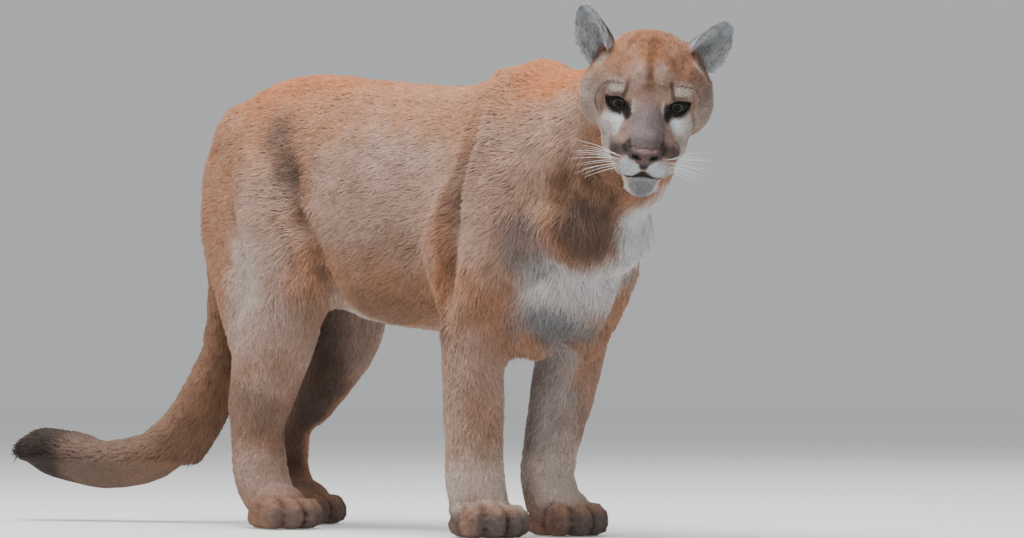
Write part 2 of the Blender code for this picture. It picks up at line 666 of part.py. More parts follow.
def main():
    clear_scene()
    scene = bpy.context.scene.collection
    animal = bpy.data.collections.new("cougar")
    helpers = bpy.data.collections.new("helpers")
    helpers.hide_render = True
    scene.children.link(animal)
    scene.children.link(helpers)
    coat = finish_of("coat")
    limbs = {"fore_right": FORE_RIGHT, "fore_left": FORE_LEFT,
             "hind_right": HIND_RIGHT, "hind_left": HIND_LEFT}

    shape = bmesh.new()
    add_body(shape)
    add_head(shape)
    for name, limb in limbs.items():
        for rows in limb.values():
            add_tube(shape, rows)
        spot, heading, size = PAWS[name]
        add_paw(shape, spot, heading, size, 1 if "left" in name else -1)
    body = fuse("body_fused", shape, helpers, BODY_FUSING)

    # The head, cut out of a finer mesh of head and neck.
    shape = bmesh.new()
    add_tube(shape, NECK, sides=24)
    add_head(shape)
    head_fine = fuse("head_fused", shape, helpers, HEAD_FUSING)
    way = math.radians(HEADING)
    forward, left = Vector((math.cos(way), math.sin(way))), Vector((-math.sin(way), math.cos(way)))
    corner = Vector(HEAD_PLANE)
    outline = [tuple(corner + left * a + forward * b)
               for a, b in ((-0.3, 0.0), (0.3, 0.0), (0.3, 0.5), (-0.3, 0.5))]
    head = part_off(head_fine, "head", helpers, animal, coat, outline, "Z", 0.40, 0.95)
    combine(body, block("head_cut", outline, "Z", 0.40, 0.95, helpers, grow=GAP), "DIFFERENCE")
    keep_largest(body)

    # Eyes behind lids, nose leather in its own hollow, nostrils and the line of the mouth.
    for side, name in ((-1, "eye_right"), (1, "eye_left")):
        for label, radius, collection in (("socket", EYE_RADIUS + GAP, helpers), (name, EYE_RADIUS, animal)):
            shape = bmesh.new()
            bmesh.ops.create_uvsphere(shape, u_segments=16, v_segments=10, radius=radius,
                                      matrix=eye_frame(side) @ Matrix.Rotation(math.pi / 2, 4, "Y"))
            ball = from_shape(label, shape, collection)
            if label == "socket":
                combine(head, ball, "DIFFERENCE")
            else:
                ball.data.materials.append(finish_of("eye"))
        cut_eye_opening(head, side, helpers)
    nose = make_nose(helpers)
    combine(head, grown_copy(nose, "nose_hollow", helpers), "DIFFERENCE")
    cut_mouth(head, helpers)
    keep_largest(head)
    animal.objects.link(nose)
    helpers.objects.unlink(nose)
    nose.name = "nose"
    cut_nostrils(nose, helpers)
    keep_largest(nose)
    nose.data.materials.append(finish_of("nose"))

    # Ears stand on the head.
    swollen = grown_copy(head, "head_swollen", helpers)
    for name in EARS:
        ear = make_ear(name, animal)
        combine(ear, swollen, "DIFFERENCE")
        keep_largest(ear)
        ear.data.materials.append(coat)

    part_off(body, "neck", helpers, animal, coat, *NECK_BLOCK)

    # The tail in three lengths.
    tail = part_off(body, "tail_tip", helpers, animal, coat, *TAIL_BLOCK)
    for name, height in zip(("tail_root", "tail_middle"), TAIL_SPLITS):
        outline = ((-1.10, height), (-0.30, height), (-0.30, 0.90), (-1.10, 0.90))
        part_off(tail, name, helpers, animal, coat, outline, "Y", -0.40, 0.40)

    # Legs in three pieces each, the paws from finer meshes.
    for name, limb in limbs.items():
        leg = part_off(body, name + "_lower_leg", helpers, animal, coat, *LEG_BLOCKS[name])
        knee = KNEE[name[:4]]
        outline = ((-1.0, knee), (1.0, knee), (1.0, 1.0), (-1.0, 1.0))
        part_off(leg, name + "_upper_leg", helpers, animal, coat, outline, "Y", -0.5, 0.5)
        sole = ((-1.0, -0.1), (1.0, -0.1), (1.0, ANKLE), (-1.0, ANKLE))
        combine(leg, block("ankle_cut", sole, "Y", -0.5, 0.5, helpers, grow=GAP), "DIFFERENCE")
        keep_largest(leg)
        fine = fuse_paw(name, limb, helpers)
        outline = ((-1.0, 0.0), (1.0, 0.0), (1.0, ANKLE), (-1.0, ANKLE))
        part_off(fine, name + "_paw", helpers, animal, coat, outline, "Y", -0.5, 0.5)

    body.name = "torso"
    animal.objects.link(body)
    helpers.objects.unlink(body)
    body.data.materials.append(coat)
    stand_over_origin(animal)
    for obj in helpers.objects:
        obj.display_type = "WIRE"


main()
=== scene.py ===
import math
import bpy
import numpy as np
from mathutils import Matrix, Vector


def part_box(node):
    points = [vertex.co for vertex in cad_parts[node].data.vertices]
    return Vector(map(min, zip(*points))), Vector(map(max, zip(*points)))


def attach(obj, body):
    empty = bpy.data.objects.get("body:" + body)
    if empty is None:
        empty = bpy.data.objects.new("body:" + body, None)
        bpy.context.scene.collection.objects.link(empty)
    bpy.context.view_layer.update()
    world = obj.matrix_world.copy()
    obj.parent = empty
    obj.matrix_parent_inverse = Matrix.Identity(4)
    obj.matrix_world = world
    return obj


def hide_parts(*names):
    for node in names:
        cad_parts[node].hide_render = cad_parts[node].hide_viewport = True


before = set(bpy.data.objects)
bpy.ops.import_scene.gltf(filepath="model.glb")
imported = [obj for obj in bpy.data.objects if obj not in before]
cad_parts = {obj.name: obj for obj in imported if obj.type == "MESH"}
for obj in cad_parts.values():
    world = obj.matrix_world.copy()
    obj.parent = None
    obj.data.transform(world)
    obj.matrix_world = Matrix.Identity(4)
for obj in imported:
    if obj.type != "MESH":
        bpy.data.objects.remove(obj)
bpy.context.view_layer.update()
bpy.ops.object.select_all(action="DESELECT")

# Studio: a pale floor that curves up into a wall far away on every side, large soft lamps overhead
# and in front, and a camera almost level with the animal's belly, off its front right quarter.
bpy.ops.mesh.primitive_circle_add(vertices=96, radius=24.0, fill_type="NGON", location=(0, 0, -0.0005))
floor = bpy.context.object
floor.name = "studio_floor"
bpy.ops.object.mode_set(mode="EDIT")
bpy.ops.mesh.inset(thickness=0.01)
bpy.ops.mesh.select_all(action="DESELECT")
bpy.ops.object.mode_set(mode="OBJECT")
for vert in floor.data.vertices:
    vert.select = vert.co.length > 23.995
bpy.ops.object.mode_set(mode="EDIT")
bpy.ops.mesh.select_mode(type="EDGE")
for outward, upward in ((1.8, 0.15), (1.6, 0.6), (1.2, 1.2), (0.8, 2.0), (0.4, 3.0), (0.0, 6.0)):
    radius = max(math.hypot(v.co.x, v.co.y) for v in floor.data.vertices)
    bpy.ops.mesh.extrude_edges_move(TRANSFORM_OT_translate={"value": (0, 0, upward)})
    bpy.ops.object.mode_set(mode="OBJECT")
    rim = [v.co for v in floor.data.vertices if v.select]
    radius = math.hypot(rim[0].x, rim[0].y)
    bpy.ops.object.mode_set(mode="EDIT")
    bpy.ops.transform.resize(value=((radius + outward) / radius, (radius + outward) / radius, 1))
bpy.ops.mesh.select_all(action="SELECT")
bpy.ops.mesh.normals_make_consistent(inside=True)
bpy.ops.object.mode_set(mode="OBJECT")
bpy.ops.object.shade_smooth()


def plain_finish(name, colour, roughness):
    """A material of one colour, and its shader for further settings."""
    finish = bpy.data.materials.new(name)
    finish.use_nodes = True
    shader = finish.node_tree.nodes["Principled BSDF"]
    shader.inputs["Base Color"].default_value = (*colour, 1)
    shader.inputs["Roughness"].default_value = roughness
    return finish, shader


pale, pale_shader = plain_finish("pale studio paint", (0.8, 0.8, 0.79), 0.9)
pale_shader.inputs["Specular IOR Level"].default_value = 0.1
pale_shader.inputs["Emission Color"].default_value = (0.97, 0.98, 1.0, 1)
pale_shader.inputs["Emission Strength"].default_value = 0.16
floor.data.materials.append(pale)

world = bpy.data.worlds.new("studio air")
bpy.context.scene.world = world
world.use_nodes = True
world.node_tree.nodes["Background"].inputs["Color"].default_value = (0.93, 0.96, 1.0, 1)
world.node_tree.nodes["Background"].inputs["Strength"].default_value = 0.34
for name, place, size, power, colour in (
        ("overhead_lamp", (0.3, -1.0, 4.2), 3.0, 290, (1.0, 0.985, 0.96)),
        ("face_lamp", (4.4, -3.0, 3.6), 2.0, 75, (1.0, 0.98, 0.95)),
        ("side_lamp", (-2.2, -4.4, 3.8), 2.6, 60, (1.0, 0.985, 0.97)),
        ("far_lamp", (-1.0, 4.6, 3.6), 3.0, 80, (0.95, 0.98, 1.0))):
    bpy.ops.object.light_add(type="AREA", location=place)
    lamp = bpy.context.object
    lamp.name = name
    lamp.data.size = size
    lamp.data.energy = power
    lamp.data.color = colour
    lamp.rotation_euler = (Vector((0.1, 0, 0.4)) - Vector(place)).to_track_quat("-Z", "Y").to_euler()

# The point between the animal's eyes and the way its head faces; the body's own zero lies below it.
EYES = [sum(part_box(name), Vector()) / 2 for name in ("eye_left", "eye_right")]
HEADING, PITCH, TILT = math.radians(-39.0), math.radians(22.0), math.radians(-5.0)
FACING = Matrix.Rotation(HEADING, 4, "Z") @ Matrix.Rotation(PITCH, 4, "Y") @ Matrix.Rotation(TILT, 4, "X")
FACE_AXES = np.array(FACING.to_3x3())
BROW_POINT = (EYES[0] + EYES[1]) / 2 + FACING @ Vector((0.014, 0, 0.0035))
HOME = BROW_POINT - Vector((0.682, -0.105, 0.643))
AIM = HOME + Vector((0.2265, 0.0, 0.408))
bpy.ops.object.camera_add(location=AIM + 8.0 * Vector((0.7879, -0.6156, -0.01745)))
camera = bpy.context.object
camera.rotation_euler = (AIM - camera.location).to_track_quat("-Z", "Y").to_euler()
camera.data.sensor_width = 36.0
camera.data.lens = 183.4
camera.data.clip_start = 0.1
camera.data.clip_end = 120.0
bpy.context.scene.camera = camera


# Skin of the body: one closed hide over trunk, neck, limbs and tail, under the fur. It is grown
# together from copies of the solids, evened, given its folds and drawn in by the fur's depth, and
# drawn in further where the finer skins of head and paws take over.
def copies_of(names, piece_name, swell):
    """One mesh of merged copies of solids, each a little swollen so that neighbours overlap."""
    bpy.ops.object.select_all(action="DESELECT")
    for name in names:
        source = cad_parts[name]
        copy = bpy.data.objects.new(name + "_copy", source.data.copy())
        bpy.context.collection.objects.link(copy)
        copy.select_set(True)
        bpy.context.view_layer.objects.active = copy
    bpy.ops.object.join()
    piece = bpy.context.object
    piece.name = piece_name
    piece.data.materials.clear()
    bpy.ops.object.mode_set(mode="EDIT")
    bpy.ops.mesh.select_all(action="SELECT")
    bpy.ops.mesh.remove_doubles(threshold=0.00001)
    bpy.ops.transform.shrink_fatten(value=swell)
    bpy.ops.object.mode_set(mode="OBJECT")
    return piece


def grow_together(piece, cell):
    remesh = piece.modifiers.new("grow together", "REMESH")
    remesh.mode = "VOXEL"
    remesh.voxel_size = cell
    bpy.ops.object.modifier_apply(modifier=remesh.name)


def points_of(piece):
    flat = np.empty(len(piece.data.vertices) * 3, np.float32)
    piece.data.vertices.foreach_get("co", flat)
    return flat.reshape(-1, 3).astype(float)


def normals_of(piece):
    flat = np.empty(len(piece.data.vertices) * 3, np.float32)
    piece.data.vertex_normals.foreach_get("vector", flat)
    return flat.reshape(-1, 3).astype(float)


def edges_of(piece):
    flat = np.empty(len(piece.data.edges) * 2, np.int32)
    piece.data.edges.foreach_get("vertices", flat)
    return flat.reshape(-1, 2)


def put_points(piece, points):
    piece.data.vertices.foreach_set("co", points.astype(np.float32).ravel())
    piece.data.update()


def neighbour_mean(values, edges):
    """The mean of each point's neighbours along the edges of a hide."""
    degree = np.bincount(edges.ravel(), minlength=len(values)).astype(float)
    total = [np.bincount(edges[:, 0], column[edges[:, 1]], len(values))
             + np.bincount(edges[:, 1], column[edges[:, 0]], len(values)) for column in values.T]
    return np.array(total).T / degree[:, None]


def even_out(piece, amount, rounds):
    """Irons facets out of a hide without thinning its limbs; amount is per point, 0 to 1."""
    points, edges = points_of(piece), edges_of(piece)
    for _ in range(rounds):
        for step in (0.55, -0.565):
            points += (neighbour_mean(points, edges) - points) * (step * amount)[:, None]
    put_points(piece, points)


def rise(values, start, end):
    """0 before start and 1 past end, easing between them."""
    t = np.clip((values - start) / (end - start), 0.0, 1.0)
    return t * t * (3 - 2 * t)


def unit(vectors):
    return vectors / np.maximum(np.linalg.norm(vectors, axis=1), 1e-9)[:, None]


def distance_to_line(points, line):
    """Distance of each point from a bent line, how far along it lies, 0 to 1, and the line's way."""
    line = np.array(line, float)
    lengths = np.linalg.norm(np.diff(line, axis=0), axis=1)
    reached = np.concatenate([[0.0], np.cumsum(lengths)])
    best, share = np.full(len(points), 1e9), np.zeros(len(points))
    ways = np.zeros((len(points), 3))
    for i in range(len(line) - 1):
        way = line[i + 1] - line[i]
        t = np.clip((points - line[i]) @ way / (way @ way), 0.0, 1.0)
        far = np.linalg.norm(points - line[i] - t[:, None] * way, axis=1)
        nearer = far < best
        best[nearer] = far[nearer]
        share[nearer] = (reached[i] + t[nearer] * lengths[i]) / reached[-1]
        ways[nearer] = way / lengths[i]
    return best, share, ways


def raise_folds(piece, origin, folds):
    """Presses grooves into a hide and raises ridges on it, each along a line that fades at its ends."""
    points, normals = points_of(piece), normals_of(piece)
    for line, breadth, height in folds:
        far, share, _ = distance_to_line(points - origin, line)
        ends = rise(share, -0.05, 0.25) * (1 - rise(share, 0.75, 1.05))
        points += normals * (height * ends * np.exp(-(far / breadth) ** 2))[:, None]
    put_points(piece, points)


# Folds and muscles of the hide: a line on the body, how broad the form is and how far it stands out.
BODY_FOLDS = (
    (((0.293, -0.099, 0.661), (0.287, -0.127, 0.585), (0.258, -0.136, 0.51), (0.262, -0.147, 0.434),
      (0.258, -0.15, 0.358), (0.25, -0.14, 0.32)), 0.014, -0.014),
    (((0.325, -0.099, 0.661), (0.318, -0.127, 0.585), (0.292, -0.14, 0.51), (0.292, -0.15, 0.434)),
     0.022, 0.006),
    (((0.262, -0.11, 0.64), (0.25, -0.128, 0.56), (0.226, -0.136, 0.48)), 0.022, 0.004),
    (((0.496, -0.085, 0.653), (0.483, -0.09, 0.594), (0.47, -0.085, 0.52)), 0.02, -0.006),
    (((-0.19, -0.114, 0.61), (-0.175, -0.124, 0.56), (-0.17, -0.129, 0.51), (-0.124, -0.124, 0.456),
      (-0.112, -0.11, 0.4), (-0.08, -0.095, 0.36)), 0.017, -0.01),
    (((-0.361, -0.116, 0.616), (-0.345, -0.135, 0.55), (-0.31, -0.145, 0.48), (-0.25, -0.15, 0.42)),
     0.017, -0.008),
    (((-0.42, -0.06, 0.61), (-0.4, -0.085, 0.52), (-0.37, -0.1, 0.43)), 0.022, 0.005),
    (((0.351, -0.119, 0.4), (0.34, -0.13, 0.33), (0.32, -0.14, 0.27)), 0.022, 0.005),
    (((0.262, -0.145, 0.335), (0.235, -0.13, 0.3)), 0.016, 0.005),
    (((0.293, 0.099, 0.661), (0.28, 0.127, 0.585), (0.25, 0.136, 0.51), (0.246, 0.147, 0.434)), 0.018, -0.01),
    (((-0.24, 0.114, 0.61), (-0.22, 0.126, 0.54), (-0.19, 0.124, 0.456), (-0.17, 0.11, 0.39)),
     0.018, -0.009),
    (((-0.38, 0.11, 0.606), (-0.37, 0.13, 0.54), (-0.35, 0.14, 0.46)), 0.018, -0.006),
    (((0.36, 0.0, 0.33), (0.43, 0.0, 0.4), (0.49, 0.0, 0.47)), 0.02, -0.005),
)
TAIL_LINE = ((-0.43, 0.0, 0.64), (-0.494, 0.0, 0.614), (-0.534, 0.0, 0.562), (-0.532, 0.0, 0.48),
             (-0.515, -0.004, 0.385), (-0.515, -0.01, 0.3), (-0.538, -0.023, 0.232),
             (-0.588, -0.044, 0.15), (-0.65, -0.071, 0.102), (-0.73, -0.108, 0.087),
             (-0.785, -0.134, 0.099), (-0.835, -0.158, 0.109), (-0.87, -0.173, 0.112))
flesh = [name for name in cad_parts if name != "nose" and not name.startswith("eye")]
body_skin = copies_of([name for name in flesh if not name.startswith("ear")], "body_skin", 0.0008)
grow_together(body_skin, 0.0057)
stance = points_of(body_skin) - np.array(HOME)
even_out(body_skin, 0.1 + 0.9 * rise(stance[:, 2], 0.075, 0.125), 34)
raise_folds(body_skin, np.array(HOME), BODY_FOLDS)


def coat_depth(stance):
    """How deep the fur lies over the body's hide: deep on trunk and tail, shallow on legs and paws."""
    low = rise(stance[:, 2], 0.03, 0.14)
    trunk = rise(stance[:, 2], 0.26, 0.46)
    tail_far, tail_share, _ = distance_to_line(stance, TAIL_LINE)
    tail = (1 - rise(tail_far, 0.06, 0.075)) * rise(tail_share, 0.0, 0.1)
    depth = 0.002 + 0.0028 * low + 0.0034 * trunk
    return np.maximum(depth, 0.0075 * tail)


def behind_face(points):
    """Distance of points behind the plane that parts head and neck, in metres."""
    plane = np.array(HOME) + np.array([0.604, -0.04, 0.0])
    return (plane - points) @ np.array([math.cos(HEADING), math.sin(HEADING), 0.0])


points = points_of(body_skin)
sunk = coat_depth(points - np.array(HOME)) + 0.01 * (1 - rise(behind_face(points), -0.026, 0.006))
stance = points - np.array(HOME)
sunk = sunk + 0.009 * (1 - rise(stance[:, 2], 0.084, 0.106))
put_points(body_skin, points - normals_of(body_skin) * sunk[:, None])
even_out(body_skin, np.full(len(points), 0.5), 3)
bpy.ops.object.shade_smooth()


# Skin of the paws: a finer hide from wrist and hock down, so that toes and the clefts between them
# keep their shape. It runs up under the fur of the legs.
PAWS = ("fore_right", "fore_left", "hind_right", "hind_left")
paw_skin = copies_of([leg + end for leg in PAWS for end in ("_paw", "_lower_leg")], "paw_skin", 0.0005)
bpy.ops.object.mode_set(mode="EDIT")
bpy.ops.mesh.select_all(action="SELECT")
bpy.ops.mesh.bisect(plane_co=(0, 0, 0.132), plane_no=(0, 0, 1), use_fill=True, clear_outer=True)
bpy.ops.object.mode_set(mode="OBJECT")
grow_together(paw_skin, 0.0026)
even_out(paw_skin, np.full(len(paw_skin.data.vertices), 0.35), 8)
points, edges, normals = points_of(paw_skin), edges_of(paw_skin), normals_of(paw_skin)
smooth = points
for _ in range(14):
    smooth = neighbour_mean(smooth, edges)
cleft = np.clip(((smooth - points) * normals).sum(1), -0.002, 0.004)
toes = (1 - rise(points[:, 2], 0.045, 0.07)) * rise(points[:, 2], 0.003, 0.008)
put_points(paw_skin, points - normals * (cleft * 1.5 * toes)[:, None])
even_out(paw_skin, np.full(len(points), 0.3), 3)
points = points_of(paw_skin)
sunk = 0.0014 + 0.002 * rise(points[:, 2], 0.035, 0.1) + 0.005 * rise(points[:, 2], 0.112, 0.13)
put_points(paw_skin, points - normals_of(paw_skin) * sunk[:, None])
bpy.ops.object.shade_smooth()


# Skin of the head: a finer closed hide over skull, muzzle, jaw and ears, running back under the
# ruff, with the lids, cheeks, lips and brow pressed and raised on it.
def head_coords(points):
    """World points in the head's own frame: forward, left and up from the point between the eyes."""
    return (points - np.array(BROW_POINT)) @ FACE_AXES


def egg(points, centre, radii):
    """Distance of points from the middle of an egg, 1 on its surface."""
    return np.linalg.norm((points - np.array(centre)) / np.array(radii), axis=1)


def to_world(local):
    """Points of the head's own frame in the world."""
    return local @ FACE_AXES.T + np.array(BROW_POINT)


# Line of the lids of one eye as seen from the front of the face, outward and up, starting at the
# inner corner and running over the upper lid: the top is almost flat and the inner corner hangs.
EYE_RADIUS, EYE_MIDDLE = 0.0185, (-0.014, 0.043, -0.0035)
LID_LINE = ((0.0242, -0.0165), (0.0262, -0.0085), (0.03, -0.001), (0.0355, 0.0034), (0.043, 0.0046),
            (0.052, 0.0036), (0.0605, 0.0), (0.0572, -0.0066), (0.052, -0.012), (0.0455, -0.0155),
            (0.038, -0.017), (0.0305, -0.0178))


def rounded(line, count):
    """A closed line through the given points, smoothly bent, as evenly numbered points."""
    knots = np.array(line, float)
    place = np.arange(count) * len(knots) / count
    i, t = place.astype(int), (place % 1)[:, None]
    p0, p1, p2, p3 = (knots[(i + k) % len(knots)] for k in (-1, 0, 1, 2))
    return 0.5 * (2 * p1 + (p2 - p0) * t + (2 * p0 - 5 * p1 + 4 * p2 - p3) * t ** 2
                  + (3 * p1 - p0 - 3 * p2 + p3) * t ** 3)


def inside_outline(places, outline):
    """Whether flat places lie inside a closed outline."""
    crossings = np.zeros(len(places), int)
    for (y1, z1), (y2, z2) in zip(outline, np.roll(outline, -1, axis=0)):
        if z1 == z2:
            continue
        spans = (z1 > places[:, 1]) != (z2 > places[:, 1])
        crossings += spans & (places[:, 0] < (y2 - y1) * (places[:, 1] - z1) / (z2 - z1) + y1)
    return crossings % 2 == 1


head_skin = copies_of(["head", "neck", "ear_left", "ear_right", "eye_left", "eye_right"], "head_skin", 0.0004)
bpy.ops.object.mode_set(mode="EDIT")
bpy.ops.mesh.select_all(action="SELECT")
bpy.ops.mesh.bisect(plane_co=HOME + Vector((0.565, -0.007, 0.6)), use_fill=True, clear_inner=True,
                    plane_no=Matrix.Rotation(HEADING, 3, "Z") @ Vector((1, 0, 0)))
bpy.ops.object.mode_set(mode="OBJECT")
grow_together(head_skin, 0.0018)
points = points_of(head_skin)
local = head_coords(points)
mouth_near = np.abs(local[:, 2] + 0.095) < 0.01
sheet = rise(np.maximum(np.abs(local[:, 1]) - 0.062, 0) + np.maximum(local[:, 2] - 0.06, 0), 0.004, 0.012)
muzzle = rise(local[:, 0], 0.03, 0.045)
high = local[:, 2] > 0.035
even_out(head_skin, (0.9 - 0.4 * muzzle) * (1 - 0.6 * mouth_near) * (1 - 0.9 * sheet * high), 26)

for side in (-1, 1):
    points, edges = points_of(head_skin), edges_of(head_skin)
    temple = egg(head_coords(points), (-0.012, side * 0.072, 0.012), (0.032, 0.019, 0.03))
    amount = (1 - rise(temple, 0.7, 1.4))[:, None]
    for _ in range(34):
        points = points + (neighbour_mean(points, edges) - points) * 0.6 * amount
    put_points(head_skin, points)


def face_folds(piece):
    """Presses and raises the small forms of the face, the same on both sides."""
    points, normals = points_of(piece), normals_of(piece)
    local = head_coords(points)
    for line, breadth, height in FACE_FOLDS:
        for side in (-1, 1):
            mirrored = [(x, side * y, z) for x, y, z in line]
            far, share, _ = distance_to_line(local, mirrored)
            ends = rise(share, -0.1, 0.25) * (1 - rise(share, 0.75, 1.1))
            points += normals * (height * ends * np.exp(-(far / breadth) ** 2))[:, None]
    put_points(piece, points)


# Lines on one half of the face, in the head's frame: brow ridge, the hollow under the eye, the dip at
# its inner corner, edge of the whisker pad, the mouth, jaw, chin, furrow of the forehead, bridge edge,
# lip pad and the cleft under the nose.
FACE_FOLDS = (
    (((0.006, 0.026, 0.018), (0.0, 0.042, 0.021), (-0.01, 0.054, 0.018)), 0.01, 0.0014),
    (((0.02, 0.02, -0.018), (0.016, 0.03, -0.026), (0.006, 0.046, -0.028), (-0.008, 0.06, -0.02)),
     0.006, -0.0016),
    (((0.018, 0.022, 0.002), (0.02, 0.022, -0.01), (0.026, 0.024, -0.022)), 0.0045, -0.0024),
    (((0.032, 0.044, -0.042), (0.03, 0.05, -0.058), (0.026, 0.048, -0.074)), 0.006, -0.0022),
    (((0.066, 0.0, -0.0935), (0.062, 0.013, -0.0937), (0.054, 0.025, -0.095), (0.04, 0.034, -0.0965)),
     0.003, -0.003),
    (((0.06, 0.034, -0.112), (0.04, 0.037, -0.114), (0.01, 0.04, -0.116)), 0.013, -0.0085),
    (((0.056, 0.022, -0.124), (0.03, 0.028, -0.128)), 0.012, -0.0045),
    (((0.01, 0.0, 0.03), (-0.02, 0.0, 0.06)), 0.007, -0.0016),
    (((0.04, 0.022, -0.024), (0.056, 0.024, -0.042)), 0.005, 0.0012),
    (((0.066, 0.016, -0.074), (0.06, 0.03, -0.078)), 0.01, 0.0016),
    (((0.08, 0.0, -0.07), (0.07, 0.0, -0.086)), 0.0024, -0.0034),
)
face_folds(head_skin)
points = points_of(head_skin)
local = head_coords(points)
LIDS = rounded(LID_LINE, 64)
for side in (-1, 1):
    middle = np.array(EYE_MIDDLE) * (1, side, 1)
    near = np.nonzero((np.linalg.norm(local - middle, axis=1) < 0.034) & (local[:, 0] > -0.012))[0]
    flat = local[near][:, 1:] * (side, 1)
    inner = inside_outline(flat, LIDS)
    closed = np.vstack([LIDS, LIDS[:1]])
    far = distance_to_line(np.c_[np.zeros(len(flat)), flat], np.c_[np.zeros(len(closed)), closed])[0]
    from_middle = local[near] - middle
    reach = np.linalg.norm(from_middle, axis=1)
    lid_reach = EYE_RADIUS + 0.0012
    wanted = np.where(inner, EYE_RADIUS - 0.0016, lid_reach + (reach - lid_reach) * rise(far, 0.0, 0.0045))
    local[near] = middle + from_middle / reach[:, None] * wanted[:, None]
put_points(head_skin, to_world(local))

# Where the ears stand in the head's frame: root, tip direction and the way the cup faces.
EARS = {"ear_right": ((-0.07, -0.081, 0.046), (0.02, -0.36, 0.93), (0.8, -0.6, 0.0)),
        "ear_left": ((-0.074, 0.074, 0.042), (-0.3, 0.58, 0.75), (0.86, 0.5, 0.1))}


def ear_coords(local, name):
    """Height up an ear, place across it and depth in front of its cup, in metres."""
    root, tip, face = (np.array(part, float) for part in EARS[name])
    tip /= np.linalg.norm(tip)
    face = face - tip * (face @ tip)
    face /= np.linalg.norm(face)
    from_root = local - root
    return from_root @ tip, from_root @ np.cross(tip, face), from_root @ face


def cup_way(name):
    """The way that the cup of an ear faces, in the world."""
    return FACE_AXES @ unit(np.array([EARS[name][2]], float))[0]


def on_ears(local):
    """1 on the free part of either ear, 0 elsewhere and on the skull beside it."""
    mirrored = local * (1, -1, 1)
    skull = egg(local, (-0.082, 0.0, 0.009), (0.092, 0.082, 0.071))
    for both in (local, mirrored):
        skull = np.minimum(skull, egg(both, (-0.07, 0.047, -0.016), (0.062, 0.051, 0.06)))
        skull = np.minimum(skull, egg(both, (-0.044, 0.05, 0.018), (0.04, 0.03, 0.034)))
    total = np.zeros(len(local))
    for name in EARS:
        up, across, ahead = ear_coords(local, name)
        total += rise(up, -0.034, -0.03) * (np.abs(across) < 0.045) * (np.abs(ahead) < 0.05)
    return np.minimum(total, 1) * rise(skull, 1.01, 1.06)


def face_depth(local, points):
    """How deep the fur lies on the head: a shaving at the lids and nose, deeper on cheek and neck."""
    eye_near = np.minimum(np.linalg.norm(local - (0.004, 0.043, -0.004), axis=1),
                          np.linalg.norm(local - (0.004, -0.043, -0.004), axis=1))
    nose_near = np.linalg.norm(local - (0.072, 0, -0.058), axis=1)
    open_face = rise(eye_near, 0.022, 0.05) * rise(nose_near, 0.02, 0.055)
    depth = 0.0002 + 0.0014 * open_face + 0.0022 * rise(-local[:, 0], 0.0, 0.08)
    depth = depth + 0.0034 * rise(behind_face(points), -0.07, -0.01)
    thin = on_ears(local)
    for root, tip, _ in EARS.values():
        root, tip = np.array(root), np.array(tip)
        far = distance_to_line(local, (root - tip * 0.03, root + tip * 0.07))[0]
        thin = np.maximum(thin, (1 - rise(far, 0.034, 0.044)) * rise(behind_face(points), -0.2, -0.1) * 0.85)
    return depth + (0.0007 - depth) * thin


points = points_of(head_skin)
local = head_coords(points)
sunk = face_depth(local, points) + 0.01 * rise(behind_face(points), 0.012, 0.04)
put_points(head_skin, points - normals_of(head_skin) * sunk[:, None])
bpy.ops.object.shade_smooth()


# Colours of the coat: one rule of soft patches for hide and fur alike, so that both carry the same
# markings and the same painted shade. Body patches are placed from the body's own zero, those of the
# face in the head's frame.
def mottle(points, size, seed):
    """Smooth random unevenness over space, about -1 to 1, with spots of the given size."""
    cell = points / size
    corner = np.floor(cell).astype(np.int64)
    part = cell - corner
    part = part * part * (3 - 2 * part)
    total = np.zeros(len(points))
    for dx in (0, 1):
        for dy in (0, 1):
            for dz in (0, 1):
                code = ((corner[:, 0] + dx) * 73856093 ^ (corner[:, 1] + dy) * 19349663
                        ^ (corner[:, 2] + dz) * 83492791 ^ seed * 2654435761)
                code = (code ^ (code >> 13)) * 1274126177
                value = ((code ^ (code >> 16)) & 0xffff) / 32767.5 - 1
                weight = ((part[:, 0] if dx else 1 - part[:, 0]) * (part[:, 1] if dy else 1 - part[:, 1])
                          * (part[:, 2] if dz else 1 - part[:, 2]))
                total += value * weight
    return total


def lay_patch(colour, points, centre, radii, tint, strength, edge=0.45, rough=0.34, seed=1):
    """Blends a tint into the colours inside a soft egg with an uneven edge."""
    away = egg(points, centre, radii)
    near = away < 1 + edge + rough
    wander = rough * mottle(points[near], min(radii) * 0.55 + 0.006, seed)
    mask = strength * (1 - rise(away[near] + wander, 1 - edge, 1 + edge))
    colour[near] += (np.array(tint) - colour[near]) * mask[:, None]


